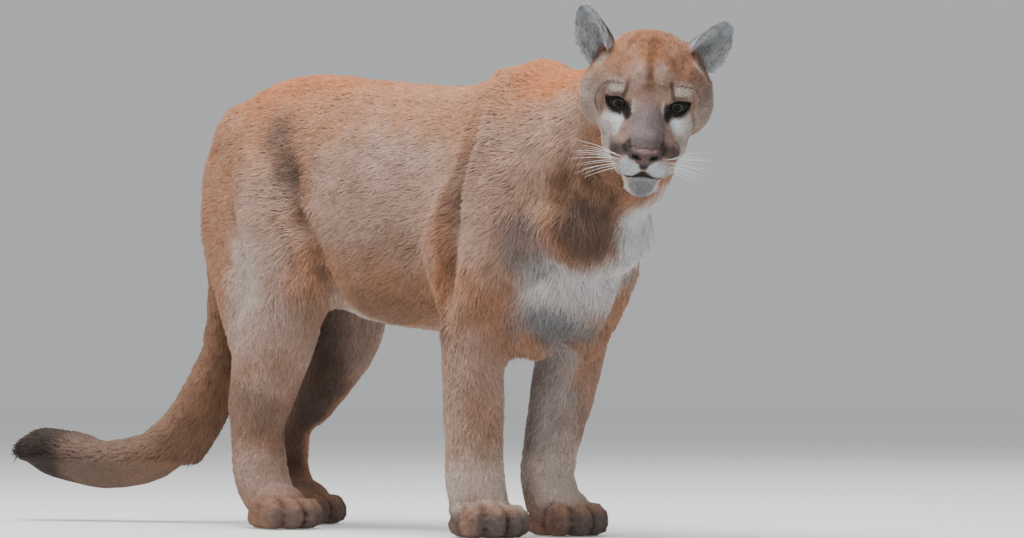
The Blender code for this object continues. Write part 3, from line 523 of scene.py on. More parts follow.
TAWNY = (0.47, 0.24, 0.145)
RUST = (0.52, 0.185, 0.072)
CREAM = (0.7, 0.63, 0.57)
WHITE = (0.82, 0.87, 0.91)
GREY_BROWN = (0.13, 0.098, 0.086)
SOOT = (0.026, 0.021, 0.02)
UMBER = (0.2, 0.12, 0.078)
OCHRE = (0.5, 0.25, 0.07)
DUST = (0.53, 0.375, 0.315)
PALE_GREY = (0.5, 0.53, 0.56)
PAINTED_SHADE_GREY = (0.21, 0.22, 0.23)
MAUVE = (0.25, 0.205, 0.215)
SLATE = (0.115, 0.098, 0.1)
BODY_PATCHES = (
    # back and top of the shoulders, rusty
    ((-0.3, 0.0, 0.74), (0.24, 0.16, 0.075), RUST, 0.75, 0),
    ((0.05, 0.0, 0.73), (0.3, 0.1, 0.045), RUST, 0.4, 0),
    ((0.35, 0.0, 0.735), (0.12, 0.12, 0.085), RUST, 0.85, 0),
    ((0.47, 0.0, 0.72), (0.09, 0.13, 0.075), RUST, 0.7, 0),
    ((-0.46, 0.0, 0.64), (0.08, 0.09, 0.1), RUST, 0.35, 0),
    # flanks, dustier and paler
    ((0.06, 0.13, 0.54), (0.2, 0.06, 0.11), DUST, 0.7, 1),
    ((-0.24, 0.13, 0.48), (0.08, 0.07, 0.11), DUST, 0.6, 1),
    ((0.36, 0.12, 0.52), (0.09, 0.07, 0.14), DUST, 0.6, 1),
    ((0.08, 0.13, 0.42), (0.16, 0.06, 0.05), UMBER, 0.25, 1),
    # belly, groin and the inner sides of the legs, pale
    ((0.02, 0.0, 0.29), (0.26, 0.1, 0.05), DUST, 0.6, 0),
    ((0.06, 0.13, 0.34), (0.24, 0.06, 0.045), UMBER, 0.55, 1),
    ((-0.14, 0.0, 0.35), (0.12, 0.09, 0.06), CREAM, 0.75, 0),
    ((-0.3, 0.0, 0.42), (0.09, 0.07, 0.12), CREAM, 0.7, 0),
    ((0.285, 0.01, 0.24), (0.06, 0.045, 0.15), PALE_GREY, 0.7, 0),
    # painted shade: between the forelegs and on the far one, over the far hind leg and inside the near one
    ((0.24, 0.02, 0.17), (0.03, 0.05, 0.12), GREY_BROWN, 0.6, 0),
    ((-0.35, 0.06, 0.28), (0.12, 0.04, 0.15), GREY_BROWN, 0.8, 0),
    ((-0.42, 0.06, 0.13), (0.12, 0.035, 0.08), GREY_BROWN, 0.7, 0),
    ((-0.26, -0.05, 0.26), (0.09, 0.04, 0.15), GREY_BROWN, 0.6, 0),
    # chest and throat, white with a dark-flecked neck above
    ((0.395, -0.05, 0.385), (0.056, 0.056, 0.066), WHITE, 0.7, 0),
    ((0.43, 0.05, 0.43), (0.066, 0.07, 0.076), WHITE, 0.75, 0),
    ((0.5, 0.04, 0.5), (0.045, 0.045, 0.07), WHITE, 0.85, 0),
    # painted shade: under the chest between the forelegs and on the chest's near side
    ((0.37, -0.02, 0.335), (0.066, 0.076, 0.036), PAINTED_SHADE_GREY, 0.9, 0),
    ((0.4, -0.105, 0.44), (0.036, 0.036, 0.05), PAINTED_SHADE_GREY, 0.45, 0),
    ((0.5, -0.08, 0.54), (0.065, 0.055, 0.06), UMBER, 0.75, 0),
    ((0.49, -0.05, 0.48), (0.05, 0.05, 0.04), GREY_BROWN, 0.75, 0),
    ((0.47, -0.1, 0.63), (0.06, 0.06, 0.05), DUST, 0.55, 0),
    ((0.59, -0.09, 0.55), (0.035, 0.06, 0.035), CREAM, 0.6, 0),
    # legs: pale above the wrists and hocks
    ((0.29, 0.075, 0.085), (0.06, 0.11, 0.06), CREAM, 0.8, 1),
    ((0.27, 0.1, 0.24), (0.05, 0.07, 0.12), DUST, 0.7, 1),
    ((-0.25, 0.12, 0.35), (0.1, 0.07, 0.13), DUST, 0.85, 1),
    ((-0.27, -0.13, 0.4), (0.06, 0.05, 0.08), CREAM, 0.35, 0),
    ((-0.3, -0.12, 0.19), (0.08, 0.05, 0.06), GREY_BROWN, 0.4, 0),
    ((-0.27, -0.11, 0.09), (0.07, 0.06, 0.05), DUST, 0.8, 0),
)
# Lines drawn on the body: the crease behind the shoulder and its warm edge, the folds of flank and
# thigh, the crease between tail and thigh, and the same on the far side. The dark lines in the creases
# are painted shade.
BODY_STROKES_AND_CREASE_SHADE = (
    (((0.25, -0.14, 0.62), (0.24, -0.145, 0.51), (0.246, -0.147, 0.434), (0.24, -0.15, 0.34)),
     0.016, RUST, 0.45),
    (((0.27, -0.135, 0.51), (0.262, -0.147, 0.434), (0.256, -0.151, 0.358), (0.25, -0.14, 0.31)),
     0.01, SOOT, 0.7),
    (((-0.25, -0.1, 0.655), (-0.2, -0.118, 0.6), (-0.165, -0.126, 0.54)), 0.03, GREY_BROWN, 0.85),
    (((-0.19, -0.122, 0.6), (-0.174, -0.127, 0.545), (-0.15, -0.128, 0.48)), 0.018, SOOT, 0.8),
    (((-0.146, -0.127, 0.49), (-0.132, -0.124, 0.45)), 0.012, OCHRE, 0.55),
    (((-0.128, -0.122, 0.44), (-0.112, -0.11, 0.4), (-0.08, -0.095, 0.35)), 0.014, GREY_BROWN, 0.45),
    (((-0.361, -0.116, 0.616), (-0.345, -0.135, 0.55), (-0.31, -0.145, 0.48), (-0.25, -0.15, 0.4)),
     0.012, GREY_BROWN, 0.35),
    (((0.25, 0.136, 0.56), (0.246, 0.147, 0.434), (0.24, 0.15, 0.34)), 0.012, GREY_BROWN, 0.45),
    (((-0.24, 0.114, 0.61), (-0.22, 0.126, 0.54), (-0.19, 0.124, 0.456), (-0.17, 0.11, 0.39)),
     0.014, GREY_BROWN, 0.45),
)
PINK = (0.46, 0.29, 0.25)
FACE_PATCHES = (
    # the whole face a little greyer than the body, the crown and temples rusty
    ((0.01, 0.0, -0.01), (0.085, 0.11, 0.07), (0.46, 0.335, 0.285), 0.7, 0),
    ((-0.098, 0.0, 0.075), (0.062, 0.062, 0.026), (0.36, 0.15, 0.075), 0.85, 0),
    ((-0.032, 0.05, 0.05), (0.04, 0.026, 0.02), (0.4, 0.19, 0.11), 0.75, 1),
    ((-0.014, 0.0, 0.06), (0.04, 0.018, 0.018), RUST, 0.55, 0),
    ((-0.002, 0.015, 0.044), (0.02, 0.01, 0.018), DUST, 0.75, 1),
    ((-0.034, 0.086, -0.024), (0.036, 0.024, 0.034), CREAM, 0.45, 1),
    ((-0.034, 0.082, 0.006), (0.026, 0.02, 0.014), DUST, 0.6, 1),
    ((-0.06, 0.072, 0.036), (0.026, 0.018, 0.012), CREAM, 0.5, 1),
    # bridge of the nose, greyish
    ((0.036, 0.0, -0.008), (0.028, 0.028, 0.02), MAUVE, 0.75, 0),
    ((0.052, 0.0, -0.03), (0.034, 0.036, 0.022), MAUVE, 0.85, 0),
    ((0.066, 0.0, -0.042), (0.018, 0.03, 0.01), SLATE, 0.7, 0),
    # over the eye white with a dark middle, partly painted shade under the brow; under it a white field
    ((0.0, 0.051, 0.02), (0.016, 0.015, 0.0075), CREAM, 0.7, 1),
    ((0.006, 0.046, 0.008), (0.014, 0.015, 0.007), GREY_BROWN, 0.7, 1),
    ((0.014, 0.048, -0.029), (0.022, 0.0165, 0.0155), WHITE, 1.0, 1),
    ((0.012, 0.062, -0.026), (0.018, 0.012, 0.014), CREAM, 0.8, 1),
    ((0.026, 0.05, -0.047), (0.02, 0.01, 0.015), CREAM, 0.75, 1),
    # dark round the eye: the dark skin of the lids, spread over the upper lid by painted shade under the brow
    ((0.006, 0.044, -0.0075), (0.03, 0.02, 0.0115), SOOT, 0.97, 1),
    ((0.014, 0.03, -0.012), (0.02, 0.007, 0.013), SOOT, 0.9, 1),
    ((0.0, 0.058, -0.058), (0.03, 0.018, 0.022), CREAM, 0.7, 1),
    # sides of the muzzle dark, lips and chin white, greyed on the lip pads and darkened on the chin by
    # painted shade
    ((0.044, 0.046, -0.056), (0.018, 0.012, 0.013), SLATE, 0.85, 1),
    ((0.056, 0.034, -0.056), (0.014, 0.01, 0.008), SLATE, 0.75, 1),
    ((0.058, 0.026, -0.05), (0.012, 0.009, 0.01), SOOT, 0.8, 1),
    # lip pads: white greyed with painted shade
    ((0.068, 0.021, -0.0775), (0.024, 0.0175, 0.014), (0.6, 0.66, 0.7), 0.95, 1),
    ((0.05, 0.037, -0.08), (0.02, 0.012, 0.009), CREAM, 0.6, 1),
    ((0.074, 0.0, -0.074), (0.018, 0.007, 0.01), SOOT, 0.95, 0),
    # chin: white darkened to grey, painted shade under the jaw
    ((0.05, 0.0, -0.112), (0.034, 0.04, 0.018), (0.33, 0.36, 0.39), 0.95, 0),
    ((0.066, 0.0, -0.0885), (0.016, 0.009, 0.0042), SOOT, 1.0, 0),
    ((0.018, 0.024, -0.112), (0.034, 0.022, 0.018), CREAM, 0.9, 1),
)
# Drawn lines of the face: cleft under the nose, brow mark, forehead stripe, the lids' outer corner,
# tear line, pale stroke beside the eye, ruddy strip beside the muzzle, the eye's dark surround and the
# rows of whisker roots.
FACE_STROKES = (
    (((0.082, 0.0, -0.064), (0.072, 0.0, -0.09)), 0.003, SOOT, 1.0),
    (((0.002, 0.03, 0.04), (0.007, 0.0335, 0.018), (0.009, 0.0375, 0.009)), 0.0034, SOOT, 0.7),
    (((-0.06, 0.0, 0.076), (-0.015, 0.0, 0.058), (0.014, 0.0, 0.026)), 0.007, (0.24, 0.125, 0.06), 0.75),
    (((-0.01, 0.0, 0.052), (0.0, 0.0, 0.042), (0.01, 0.0, 0.032)), 0.0026, GREY_BROWN, 0.65),
    (((0.0, 0.058, 0.003), (-0.006, 0.066, 0.001), (-0.014, 0.073, 0.004)), 0.0026, SOOT, 0.9),
    (((0.013, 0.0275, 0.003), (0.016, 0.0262, -0.009), (0.019, 0.0285, -0.02)), 0.003, SOOT, 0.85),
    (((0.014, 0.029, -0.013), (0.02, 0.0285, -0.021), (0.026, 0.0295, -0.029)), 0.0032, SOOT, 0.85),
    (((0.014, 0.022, 0.006), (0.017, 0.0215, -0.009)), 0.003, CREAM, 0.6),
    (((0.026, 0.033, -0.025), (0.036, 0.036, -0.04), (0.04, 0.04, -0.05)), 0.0046, PINK, 0.8),
    (((0.014, 0.0262, -0.015), (0.014, 0.028, -0.006), (0.014, 0.0318, 0.003), (0.01, 0.04, 0.0064),
      (0.006, 0.053, 0.005), (-0.004, 0.0625, 0.0006), (-0.002, 0.057, -0.008), (0.006, 0.046, -0.0152),
      (0.012, 0.033, -0.0158), (0.014, 0.0262, -0.015)), 0.0034, SOOT, 1.0),
    (((0.072, 0.012, -0.069), (0.068, 0.03, -0.07)), 0.001, GREY_BROWN, 0.25),
    (((0.072, 0.012, -0.0745), (0.066, 0.033, -0.076)), 0.001, GREY_BROWN, 0.25),
)


def mouth_line(local):
    """1 on the dark lips, which run level and drop a little at the corners, 0 elsewhere."""
    turn = np.arctan2(np.abs(local[:, 1]), local[:, 0] + 0.01) / math.radians(60)
    height = local[:, 2] + 0.0935 + 0.006 * turn ** 2
    front = rise(local[:, 0], 0.01, 0.02) * (1 - rise(np.abs(local[:, 1]), 0.036, 0.042))
    return front * np.exp(-(height / 0.004) ** 4)


def coat_colour(points, normals):
    """The colour of the coat at points of the hide, its painted shade included."""
    stance = points - np.array(HOME)
    colour = np.tile(TAWNY, (len(points), 1)).astype(float)
    for k, (centre, radii, tint, strength, both) in enumerate(BODY_PATCHES):
        for side in ((-1, 1) if both else (1,)):
            lay_patch(colour, stance, (centre[0], side * centre[1], centre[2]), radii, tint, strength, seed=k)
    # strokes on the body; the dark ones are painted shade in the creases
    for k, (line, breadth, tint, strength) in enumerate(BODY_STROKES_AND_CREASE_SHADE):
        far, share, _ = distance_to_line(stance, line)
        ends = rise(share, -0.1, 0.15) * (1 - rise(share, 0.8, 1.1))
        wander = 1 + 0.5 * mottle(stance, 0.02, 70 + k)
        mask = strength * ends * np.exp(-(far / breadth / wander) ** 2)
        colour += (np.array(tint) - colour) * mask[:, None]
    far, share, _ = distance_to_line(stance, TAIL_LINE)
    on_tail = (1 - rise(far, 0.058, 0.07)) * rise(share, 0.08, 0.2)
    for tint, start, end, strength in ((UMBER, 0.1, 0.45, 0.6), (GREY_BROWN, 0.5, 0.85, 0.7),
                                       (SOOT, 0.86, 0.93, 0.85)):
        mask = strength * on_tail * rise(share + 0.03 * mottle(stance, 0.03, 5), start, end)
        colour += (np.array(tint) - colour) * mask[:, None]
    for leg in PAWS:
        low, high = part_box(leg + "_paw")
        beside = rise(points[:, 1], low.y - 0.012, low.y) * (1 - rise(points[:, 1], high.y, high.y + 0.012))
        front = rise(points[:, 0], high.x - 0.06, high.x - 0.02) * (1 - rise(points[:, 2], 0.026, 0.05))
        colour += (np.array(SLATE) * 1.2 - colour) * (0.72 * beside * front)[:, None]
    fleck = rise(mottle(stance, 0.011, 31) + 0.6 * mottle(stance, 0.024, 32), 0.05, 0.75)
    neck = np.exp(-(((stance - (0.505, -0.08, 0.52)) / (0.065, 0.07, 0.06)) ** 2).sum(1))
    breast = np.exp(-(((stance - (0.4, -0.09, 0.415)) / (0.05, 0.045, 0.06)) ** 2).sum(1))
    colour *= (1 - fleck * np.maximum(0.66 * neck, 0.45 * breast))[:, None]
    low_down = 0.35 * (1 - rise(stance[:, 2], 0.18, 0.4)) * (stance[:, 0] > -0.42)
    colour += (np.array(DUST) * colour.mean(1)[:, None] / 0.41 - colour) * low_down[:, None]
    local = head_coords(points)
    head = local[:, 0] > -0.26
    face_colour, face_local = colour[head], local[head]
    for k, (centre, radii, tint, strength, both) in enumerate(FACE_PATCHES):
        for side in ((-1, 1) if both else (1,)):
            lay_patch(face_colour, face_local, (centre[0], side * centre[1], centre[2]), radii, tint,
                      strength, edge=0.35, rough=0.2, seed=40 + k)
    for line, breadth, tint, strength in FACE_STROKES:
        for side in (-1, 1):
            far, share, _ = distance_to_line(face_local, [(x, side * y, z) for x, y, z in line])
            far = far * (1 + 0.3 * mottle(face_local, 0.0045, 61))
            once = side < 0 or line[0][1] or line[1][1]
            mask = strength * np.exp(-(far / breadth) ** 4) * (1 if once else 0)
            face_colour += (np.array(tint) - face_colour) * mask[:, None]
    speck = rise(mottle(face_local, 0.0045, 62) + 0.7 * mottle(face_local, 0.009, 63), 0.05, 0.9)
    brow = rise(face_local[:, 2], 0.012, 0.03) * (1 - on_ears(face_local))
    face_colour *= (1 - 0.38 * speck * brow)[:, None]
    lips = mouth_line(face_local)
    face_colour += (np.array(SOOT) - face_colour) * lips[:, None]
    for name in EARS:
        up, across, ahead = ear_coords(face_local, name)
        facing = cup_way(name)
        inside = 1 - rise(-(normals[head] @ facing), 0.1, 0.45)
        on_ear = (np.abs(across) < 0.045) * (np.abs(ahead) < 0.05) * on_ears(face_local)
        inner = np.array((0.46, 0.49, 0.53)) * (1 + 0.55 * mottle(face_local, 0.009, 51))[:, None]
        pocket = np.exp(-((up - 0.036) / 0.02) ** 2 - ((np.abs(across) - 0.02) / 0.01) ** 2)
        inner = inner + (np.array(SLATE) - inner) * (0.75 * pocket)[:, None]
        dark = np.exp(-((up - 0.035) / 0.026) ** 2)[:, None]
        back = np.array(UMBER) + (np.array(SOOT) - np.array(UMBER)) * dark
        here = back + (inner - back) * inside[:, None]
        rim = np.exp(-((normals[head] @ facing - 0.1) / 0.28) ** 2) * rise(up, 0.01, 0.03)
        here += (np.array(CREAM) - here) * (0.55 * rim)[:, None]
        face_colour += (here - face_colour) * on_ear[:, None]
    colour[head] = face_colour
    blotch = mottle(stance, 0.06, 11) * 0.5 + mottle(stance, 0.024, 12) * 0.5
    return np.clip(colour * (1 + 0.13 * blotch)[:, None], 0.008, 1)


def wear_colours(piece, colours):
    layer = piece.data.color_attributes.new("Coat colour", "FLOAT_COLOR", "POINT")
    layer.data.foreach_set("color", np.c_[colours, np.ones(len(colours))].astype(np.float32).ravel())


def coat_finish(name, roughness, sheen, grain):
    """Fur or hide: colour from the markings, a fine grain of light and dark, a soft bloom."""
    finish = bpy.data.materials.new(name)
    finish.use_nodes = True
    nodes, links = finish.node_tree.nodes, finish.node_tree.links
    shader = nodes["Principled BSDF"]
    shader.inputs["Roughness"].default_value = roughness
    shader.inputs["Specular IOR Level"].default_value = 0.25
    shader.inputs["Sheen Weight"].default_value = sheen
    shader.inputs["Sheen Roughness"].default_value = 0.5
    marks = nodes.new("ShaderNodeAttribute")
    marks.attribute_name = "Coat colour"
    place = nodes.new("ShaderNodeTexCoord")
    speckle = nodes.new("ShaderNodeTexNoise")
    speckle.inputs["Scale"].default_value = grain
    speckle.inputs["Detail"].default_value = 3.0
    links.new(place.outputs["Object"], speckle.inputs["Vector"])
    shades = nodes.new("ShaderNodeValToRGB")
    shades.color_ramp.elements[0].color = (0.62, 0.6, 0.58, 1)
    shades.color_ramp.elements[0].position = 0.3
    shades.color_ramp.elements[1].color = (1.16, 1.16, 1.16, 1)
    shades.color_ramp.elements[1].position = 0.7
    links.new(speckle.outputs["Fac"], shades.inputs["Fac"])
    mixed = nodes.new("ShaderNodeMix")
    mixed.data_type = "RGBA"
    mixed.blend_type = "MULTIPLY"
    mixed.inputs["Factor"].default_value = 1.0
    links.new(marks.outputs["Color"], mixed.inputs["A"])
    links.new(shades.outputs["Color"], mixed.inputs["B"])
    links.new(mixed.outputs["Result"], shader.inputs["Base Color"])
    bump = nodes.new("ShaderNodeBump")
    bump.inputs["Strength"].default_value = 0.5
    bump.inputs["Distance"].default_value = 0.002
    links.new(speckle.outputs["Fac"], bump.inputs["Height"])
    links.new(bump.outputs["Normal"], shader.inputs["Normal"])
    return finish


def hollows(piece, spans, reach):
    """How far each point of a hide lies in a hollow, 0 to 1, such as a cleft between toes; the coat is
    darkened there by it as painted shade.
    """
    points, normals, edges = points_of(piece), normals_of(piece), edges_of(piece)
    smooth = points
    for _ in range(spans):
        smooth = 0.5 * smooth + 0.5 * neighbour_mean(smooth, edges)
    depth = ((smooth - points) * normals).sum(1)[:, None]
    for _ in range(2):
        depth = neighbour_mean(depth, edges)
    return rise(depth[:, 0], 0.1 * reach, reach)


hide_finish = coat_finish("undercoat", 0.95, 0.0, 420.0)
body_hollows, head_hollows = hollows(body_skin, 5, 0.0022), hollows(head_skin, 6, 0.0016)
paw_hollows = hollows(paw_skin, 8, 0.0016)
head_hollows = head_hollows * rise(head_coords(points_of(head_skin))[:, 0], 0.03, 0.045)
# Each hide is darkened in its hollows: painted shade in creases and between the toes.
for piece, hollow in ((body_skin, body_hollows), (head_skin, head_hollows), (paw_skin, paw_hollows)):
    tint = coat_colour(points_of(piece), normals_of(piece)) * 0.72
    wear_colours(piece, tint * (1 - (0.8 if piece == paw_skin else 0.55) * hollow)[:, None])
    piece.data.materials.append(hide_finish)
    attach(piece, "root")
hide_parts(*[name for name in flesh if name != "head" and not name.startswith("ear")])
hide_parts(*[leg + "_paw" for leg in PAWS])
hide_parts("head", "ear_left", "ear_right")


# Coat: many thousands of small flat tufts of hair, each a closed sliver rooted in the hide and lying
# along the body, from nose to tail tip and down the legs. They are smallest on the face and paws.
def spread(hide, tufts_per_m2, seed):
    """Random roots over a hide, some on each of its faces: face numbers and places."""
    mesh = hide.data
    mesh.calc_loop_triangles()
    corners = np.empty(len(mesh.loop_triangles) * 3, np.int32)
    mesh.loop_triangles.foreach_get("vertices", corners)
    corners = corners.reshape(-1, 3)
    points = points_of(hide)
    a, b, c = points[corners[:, 0]], points[corners[:, 1]], points[corners[:, 2]]
    area = np.linalg.norm(np.cross(b - a, c - a), axis=1) / 2
    chance = np.random.default_rng(seed)
    wanted = area * tufts_per_m2(points[corners].mean(1))
    count = np.floor(wanted + chance.random(len(wanted))).astype(int)
    face = np.repeat(np.arange(len(corners)), count)
    u, v = chance.random(len(face)), chance.random(len(face))
    over = u + v > 1
    u[over], v[over] = 1 - u[over], 1 - v[over]
    weights = np.stack([1 - u - v, u, v], 1)
    return corners[face], weights, chance


def blend_at(values, corners, weights):
    return (values[corners] * weights[:, :, None]).sum(1)


def rooted(hide, tufts_per_m2, lie, normals, seed):
    """Tufts spread over a hide: corners, weights, random numbers, roots, outward way and lie of each."""
    corners, weights, chance = spread(hide, tufts_per_m2, seed)
    roots = blend_at(points_of(hide), corners, weights)
    out = unit(blend_at(normals, corners, weights))
    way = blend_at(lie, corners, weights)
    return corners, weights, chance, roots, out, unit(way - out * (way * out).sum(1)[:, None])


def varied(chance, count, amount):
    """1 and a little more or less for each tuft."""
    return 1 + amount * chance.normal(0, 1, count).clip(-2, 2)


def tuft_mesh(name, roots, out, way, length, width, lift, root_colour, tip_colour, patches):
    """Closed slivers: two root points below the skin, a raised middle and a tip."""
    side = unit(np.cross(way, out))
    low = roots - out * 0.0015
    ahead = way * length[:, None]
    points = np.stack([low + side * (width / 2)[:, None], low - side * (width / 2)[:, None],
                       roots + ahead * 0.45 + out * (length * lift * 0.62 + width * 0.22)[:, None],
                       roots + ahead + out * (length * lift)[:, None]], 1)
    normals = np.stack([out + side * 0.45, out - side * 0.45, out - way * 0.15, out + way * 0.25], 1)
    count = len(roots)
    sides = np.array([[0, 3, 2], [1, 2, 3], [0, 2, 1], [0, 1, 3]])
    faces = (np.arange(count) * 4)[:, None, None] + sides
    mesh = bpy.data.meshes.new(name)
    mesh.vertices.add(count * 4)
    mesh.vertices.foreach_set("co", points.astype(np.float32).ravel())
    mesh.loops.add(count * 12)
    mesh.loops.foreach_set("vertex_index", faces.astype(np.int32).ravel())
    mesh.polygons.add(count * 4)
    mesh.polygons.foreach_set("loop_start", np.arange(0, count * 12, 3, dtype=np.int32))
    mesh.update(calc_edges=True)
    middle = root_colour * 0.35 + tip_colour * 0.65
    colours = np.stack([root_colour, root_colour, middle, tip_colour], 1).reshape(-1, 3)
    layer = mesh.color_attributes.new("Coat colour", "FLOAT_COLOR", "POINT")
    layer.data.foreach_set("color", np.c_[colours, np.ones(len(colours))].astype(np.float32).ravel())
    corner = np.array([(-0.0015, -0.0015), (0.0015, -0.0015), (0.0, 0.0), (0.0, 0.0015)])
    unwrapped = patches[:, None, None, :] + corner[sides][None]
    baking = mesh.uv_layers.new(name="OFBake")
    baking.data.foreach_set("uv", unwrapped.astype(np.float32).ravel())
    mesh.polygons.foreach_set("use_smooth", np.ones(count * 4, bool))
    mesh.normals_split_custom_set_from_vertices(unit(normals.reshape(-1, 3)).astype(np.float32))
    piece = bpy.data.objects.new(name, mesh)
    bpy.context.collection.objects.link(piece)
    piece.data.materials.append(fur_finish)
    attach(piece, "root")
    return piece


# The body in lengths, each unrolled round its own middle line into a field of the coat's baking map.
LENGTHS = (
    ("tail", TAIL_LINE, 0.055),
    ("back", ((-0.47, 0, 0.6), (-0.3, 0, 0.6), (-0.06, 0, 0.56)), 0.13),
    ("barrel", ((-0.06, 0, 0.56), (0.1, 0, 0.52), (0.2, 0, 0.52)), 0.13),
    ("shoulders", ((0.2, 0, 0.52), (0.3, 0, 0.54), (0.4, 0, 0.56)), 0.13),
    ("neck", ((0.4, 0, 0.57), (0.5, -0.01, 0.62), (0.6, -0.045, 0.65)), 0.1),
    ("fore_leg_right", ((0.29, -0.106, 0.4), (0.266, -0.105, 0.22),
     (0.272, -0.105, 0.06), (0.33, -0.105, 0.02)), 0.05),
    ("fore_leg_left", ((0.3, 0.096, 0.4), (0.273, 0.067, 0.22),
     (0.27, 0.038, 0.06), (0.33, 0.045, 0.02)), 0.05),
    ("hind_leg_right", ((-0.24, -0.104, 0.42), (-0.284, -0.1, 0.24),
     (-0.312, -0.096, 0.1), (-0.22, -0.096, 0.02)), 0.05),
    ("hind_leg_left", ((-0.32, 0.1, 0.42), (-0.39, 0.092, 0.25),
     (-0.48, 0.08, 0.1), (-0.39, 0.078, 0.02)), 0.05),
)


def which_length(stance):
    """Number of the body length that each point belongs to, and its place on the baking map."""
    distance, places = [], []
    for name, line, thickness in LENGTHS:
        far, share, way = distance_to_line(stance, line)
        distance.append(far / thickness)
        knots = np.array(line, float)
        lengths = np.linalg.norm(np.diff(knots, axis=0), axis=1)
        reached = np.concatenate([[0], np.cumsum(lengths)]) / lengths.sum()
        middle = np.stack([np.interp(share, reached, knots[:, k]) for k in range(3)], 1)
        out = stance - middle
        across = np.cross(way, np.tile((0.31, 0.2, 0.93), (len(way), 1)))
        around = np.arctan2((out * unit(across)).sum(1), (out * unit(np.cross(way, across))).sum(1))
        places.append(np.stack([share, around / (2 * math.pi) + 0.5], 1))
    label = np.argmin(distance, axis=0)
    field = np.array(places)[label, np.arange(len(stance))]
    cell = np.stack([label % 3, label // 3], 1)
    return label, (cell + 0.02 + 0.96 * field) / 4.0


def lie_of_body(hide, stance, normals):
    """The way the hair lies at each point of the body's hide, evened over its surface."""
    down = np.array([-0.16, 0.0, -1.0])
    back = np.array([-1.0, 0.0, -0.3])
    legs = 1 - rise(stance[:, 2], 0.33, 0.56)
    barrel = rise(stance[:, 0], -0.16, -0.04) * (1 - rise(stance[:, 0], 0.12, 0.24))
    legs = legs * (1 - 0.75 * barrel * rise(stance[:, 2], 0.24, 0.3))
    way = back + (down - back) * legs[:, None]
    front = rise(stance[:, 0], 0.33, 0.44)
    way += (np.array([-0.15, 0.0, -1.0]) - way) * (front * (1 - rise(stance[:, 2], 0.52, 0.7)))[:, None]
    nape = rise(stance[:, 0], 0.4, 0.5) * rise(stance[:, 2], 0.5, 0.66)
    way += (np.array([-0.9, 0.2, -0.55]) - way) * nape[:, None]
    paw = 1 - rise(stance[:, 2], 0.045, 0.105)
    way += (np.array([0.75, 0.0, -0.55]) - way) * paw[:, None]
    far, share, along = distance_to_line(stance, TAIL_LINE)
    tail = (1 - rise(far, 0.06, 0.085)) * rise(share, 0.0, 0.12)
    way += (along - way) * tail[:, None]
    edges = edges_of(hide)
    for _ in range(14):
        way = way - normals * (way * normals).sum(1)[:, None]
        way = unit(way)
        way = 0.3 * way + 0.7 * neighbour_mean(way, edges)
    way = way - normals * (way * normals).sum(1)[:, None]
    return unit(way)


def turned(way, out, angle):
    """Ways turned about the outward normals by an angle each."""
    return way * np.cos(angle)[:, None] + np.cross(out, way) * np.sin(angle)[:, None]


BODY_TUFTS, PAW_TUFTS, HEAD_TUFTS = 120000, 230000, 330000     # to a square metre


def body_thickness(points):
    """Tufts to a square metre, none inside the head or where the paws have their own coat."""
    stance = points - np.array(HOME)
    keep = rise(behind_face(points), -0.008, 0.004) * rise(stance[:, 2], 0.104, 0.112)
    return BODY_TUFTS * keep


fur_finish = coat_finish("fur", 0.85, 0.04, 900.0)
normals = normals_of(body_skin)
lie = lie_of_body(body_skin, points_of(body_skin) - np.array(HOME), normals)
corners, weights, chance, roots, out, way = rooted(body_skin, body_thickness, lie, normals, 7)
stance = roots - np.array(HOME)
label, patches = which_length(stance)
depth = coat_depth(stance)
ruffle = mottle(stance, 0.03, 21) + 0.7 * mottle(stance, 0.012, 22)
way = turned(way, out, 0.3 * ruffle + chance.normal(0, 0.22, len(roots)))
chest = np.exp(-(((stance - (0.44, -0.01, 0.42)) / (0.08, 0.09, 0.1)) ** 2).sum(1))
under = (np.exp(-((stance[:, 2] - 0.315) / 0.045) ** 2) * rise(stance[:, 0], -0.2, -0.1)
         * (1 - rise(stance[:, 0], 0.2, 0.3)))
shaggy = np.clip(chest + 0.7 * under * rise(-out[:, 2], 0.1, 0.7), 0, 1)
length = (0.0045 + depth * 2.1) * varied(chance, len(roots), 0.22) * (1 + 0.8 * shaggy)
lift = (depth / length * 0.62) * (1 + 0.45 * mottle(stance, 0.018, 23) + 0.25 * chance.random(len(roots)))
width = 0.001 + depth * 0.22 + 0.0006 * chance.random(len(roots))
# darker over the hide's hollows: painted shade
hollow = blend_at(body_hollows[:, None], corners, weights)
colour = coat_colour(roots, out) * (1 - 0.5 * hollow)
shade = (varied(chance, len(roots), 0.16) + 0.1 * mottle(stance, 0.016, 24))[:, None]
tip_colour = np.clip(colour * 1.15 * shade, 0.01, 1)
root_colour = np.clip(colour * 0.5 * shade, 0.01, 1)
for number, (part, _, _) in enumerate(LENGTHS):
    mine = np.nonzero(label == number)[0]
    sheets = math.ceil(len(mine) * 4 / 190000)
    for k in range(sheets):
        some = mine[k::sheets]
        tuft_mesh(f"fur_{part}_{k + 1}" if sheets > 1 else f"fur_{part}", roots[some], out[some], way[some],
                  length[some], width[some], lift[some], root_colour[some], tip_colour[some], patches[some])
print("body tufts", len(roots))


# Coat of the paws: short close hair running down over the wrist and forward over the toes, with
# the clefts between the toes darkened by painted shade.
def paw_thickness(points):
    """Tufts to a square metre on the paws, none on the soles or up inside the legs."""
    return PAW_TUFTS * (1 - rise(points[:, 2], 0.114, 0.124)) * rise(points[:, 2], 0.003, 0.006)


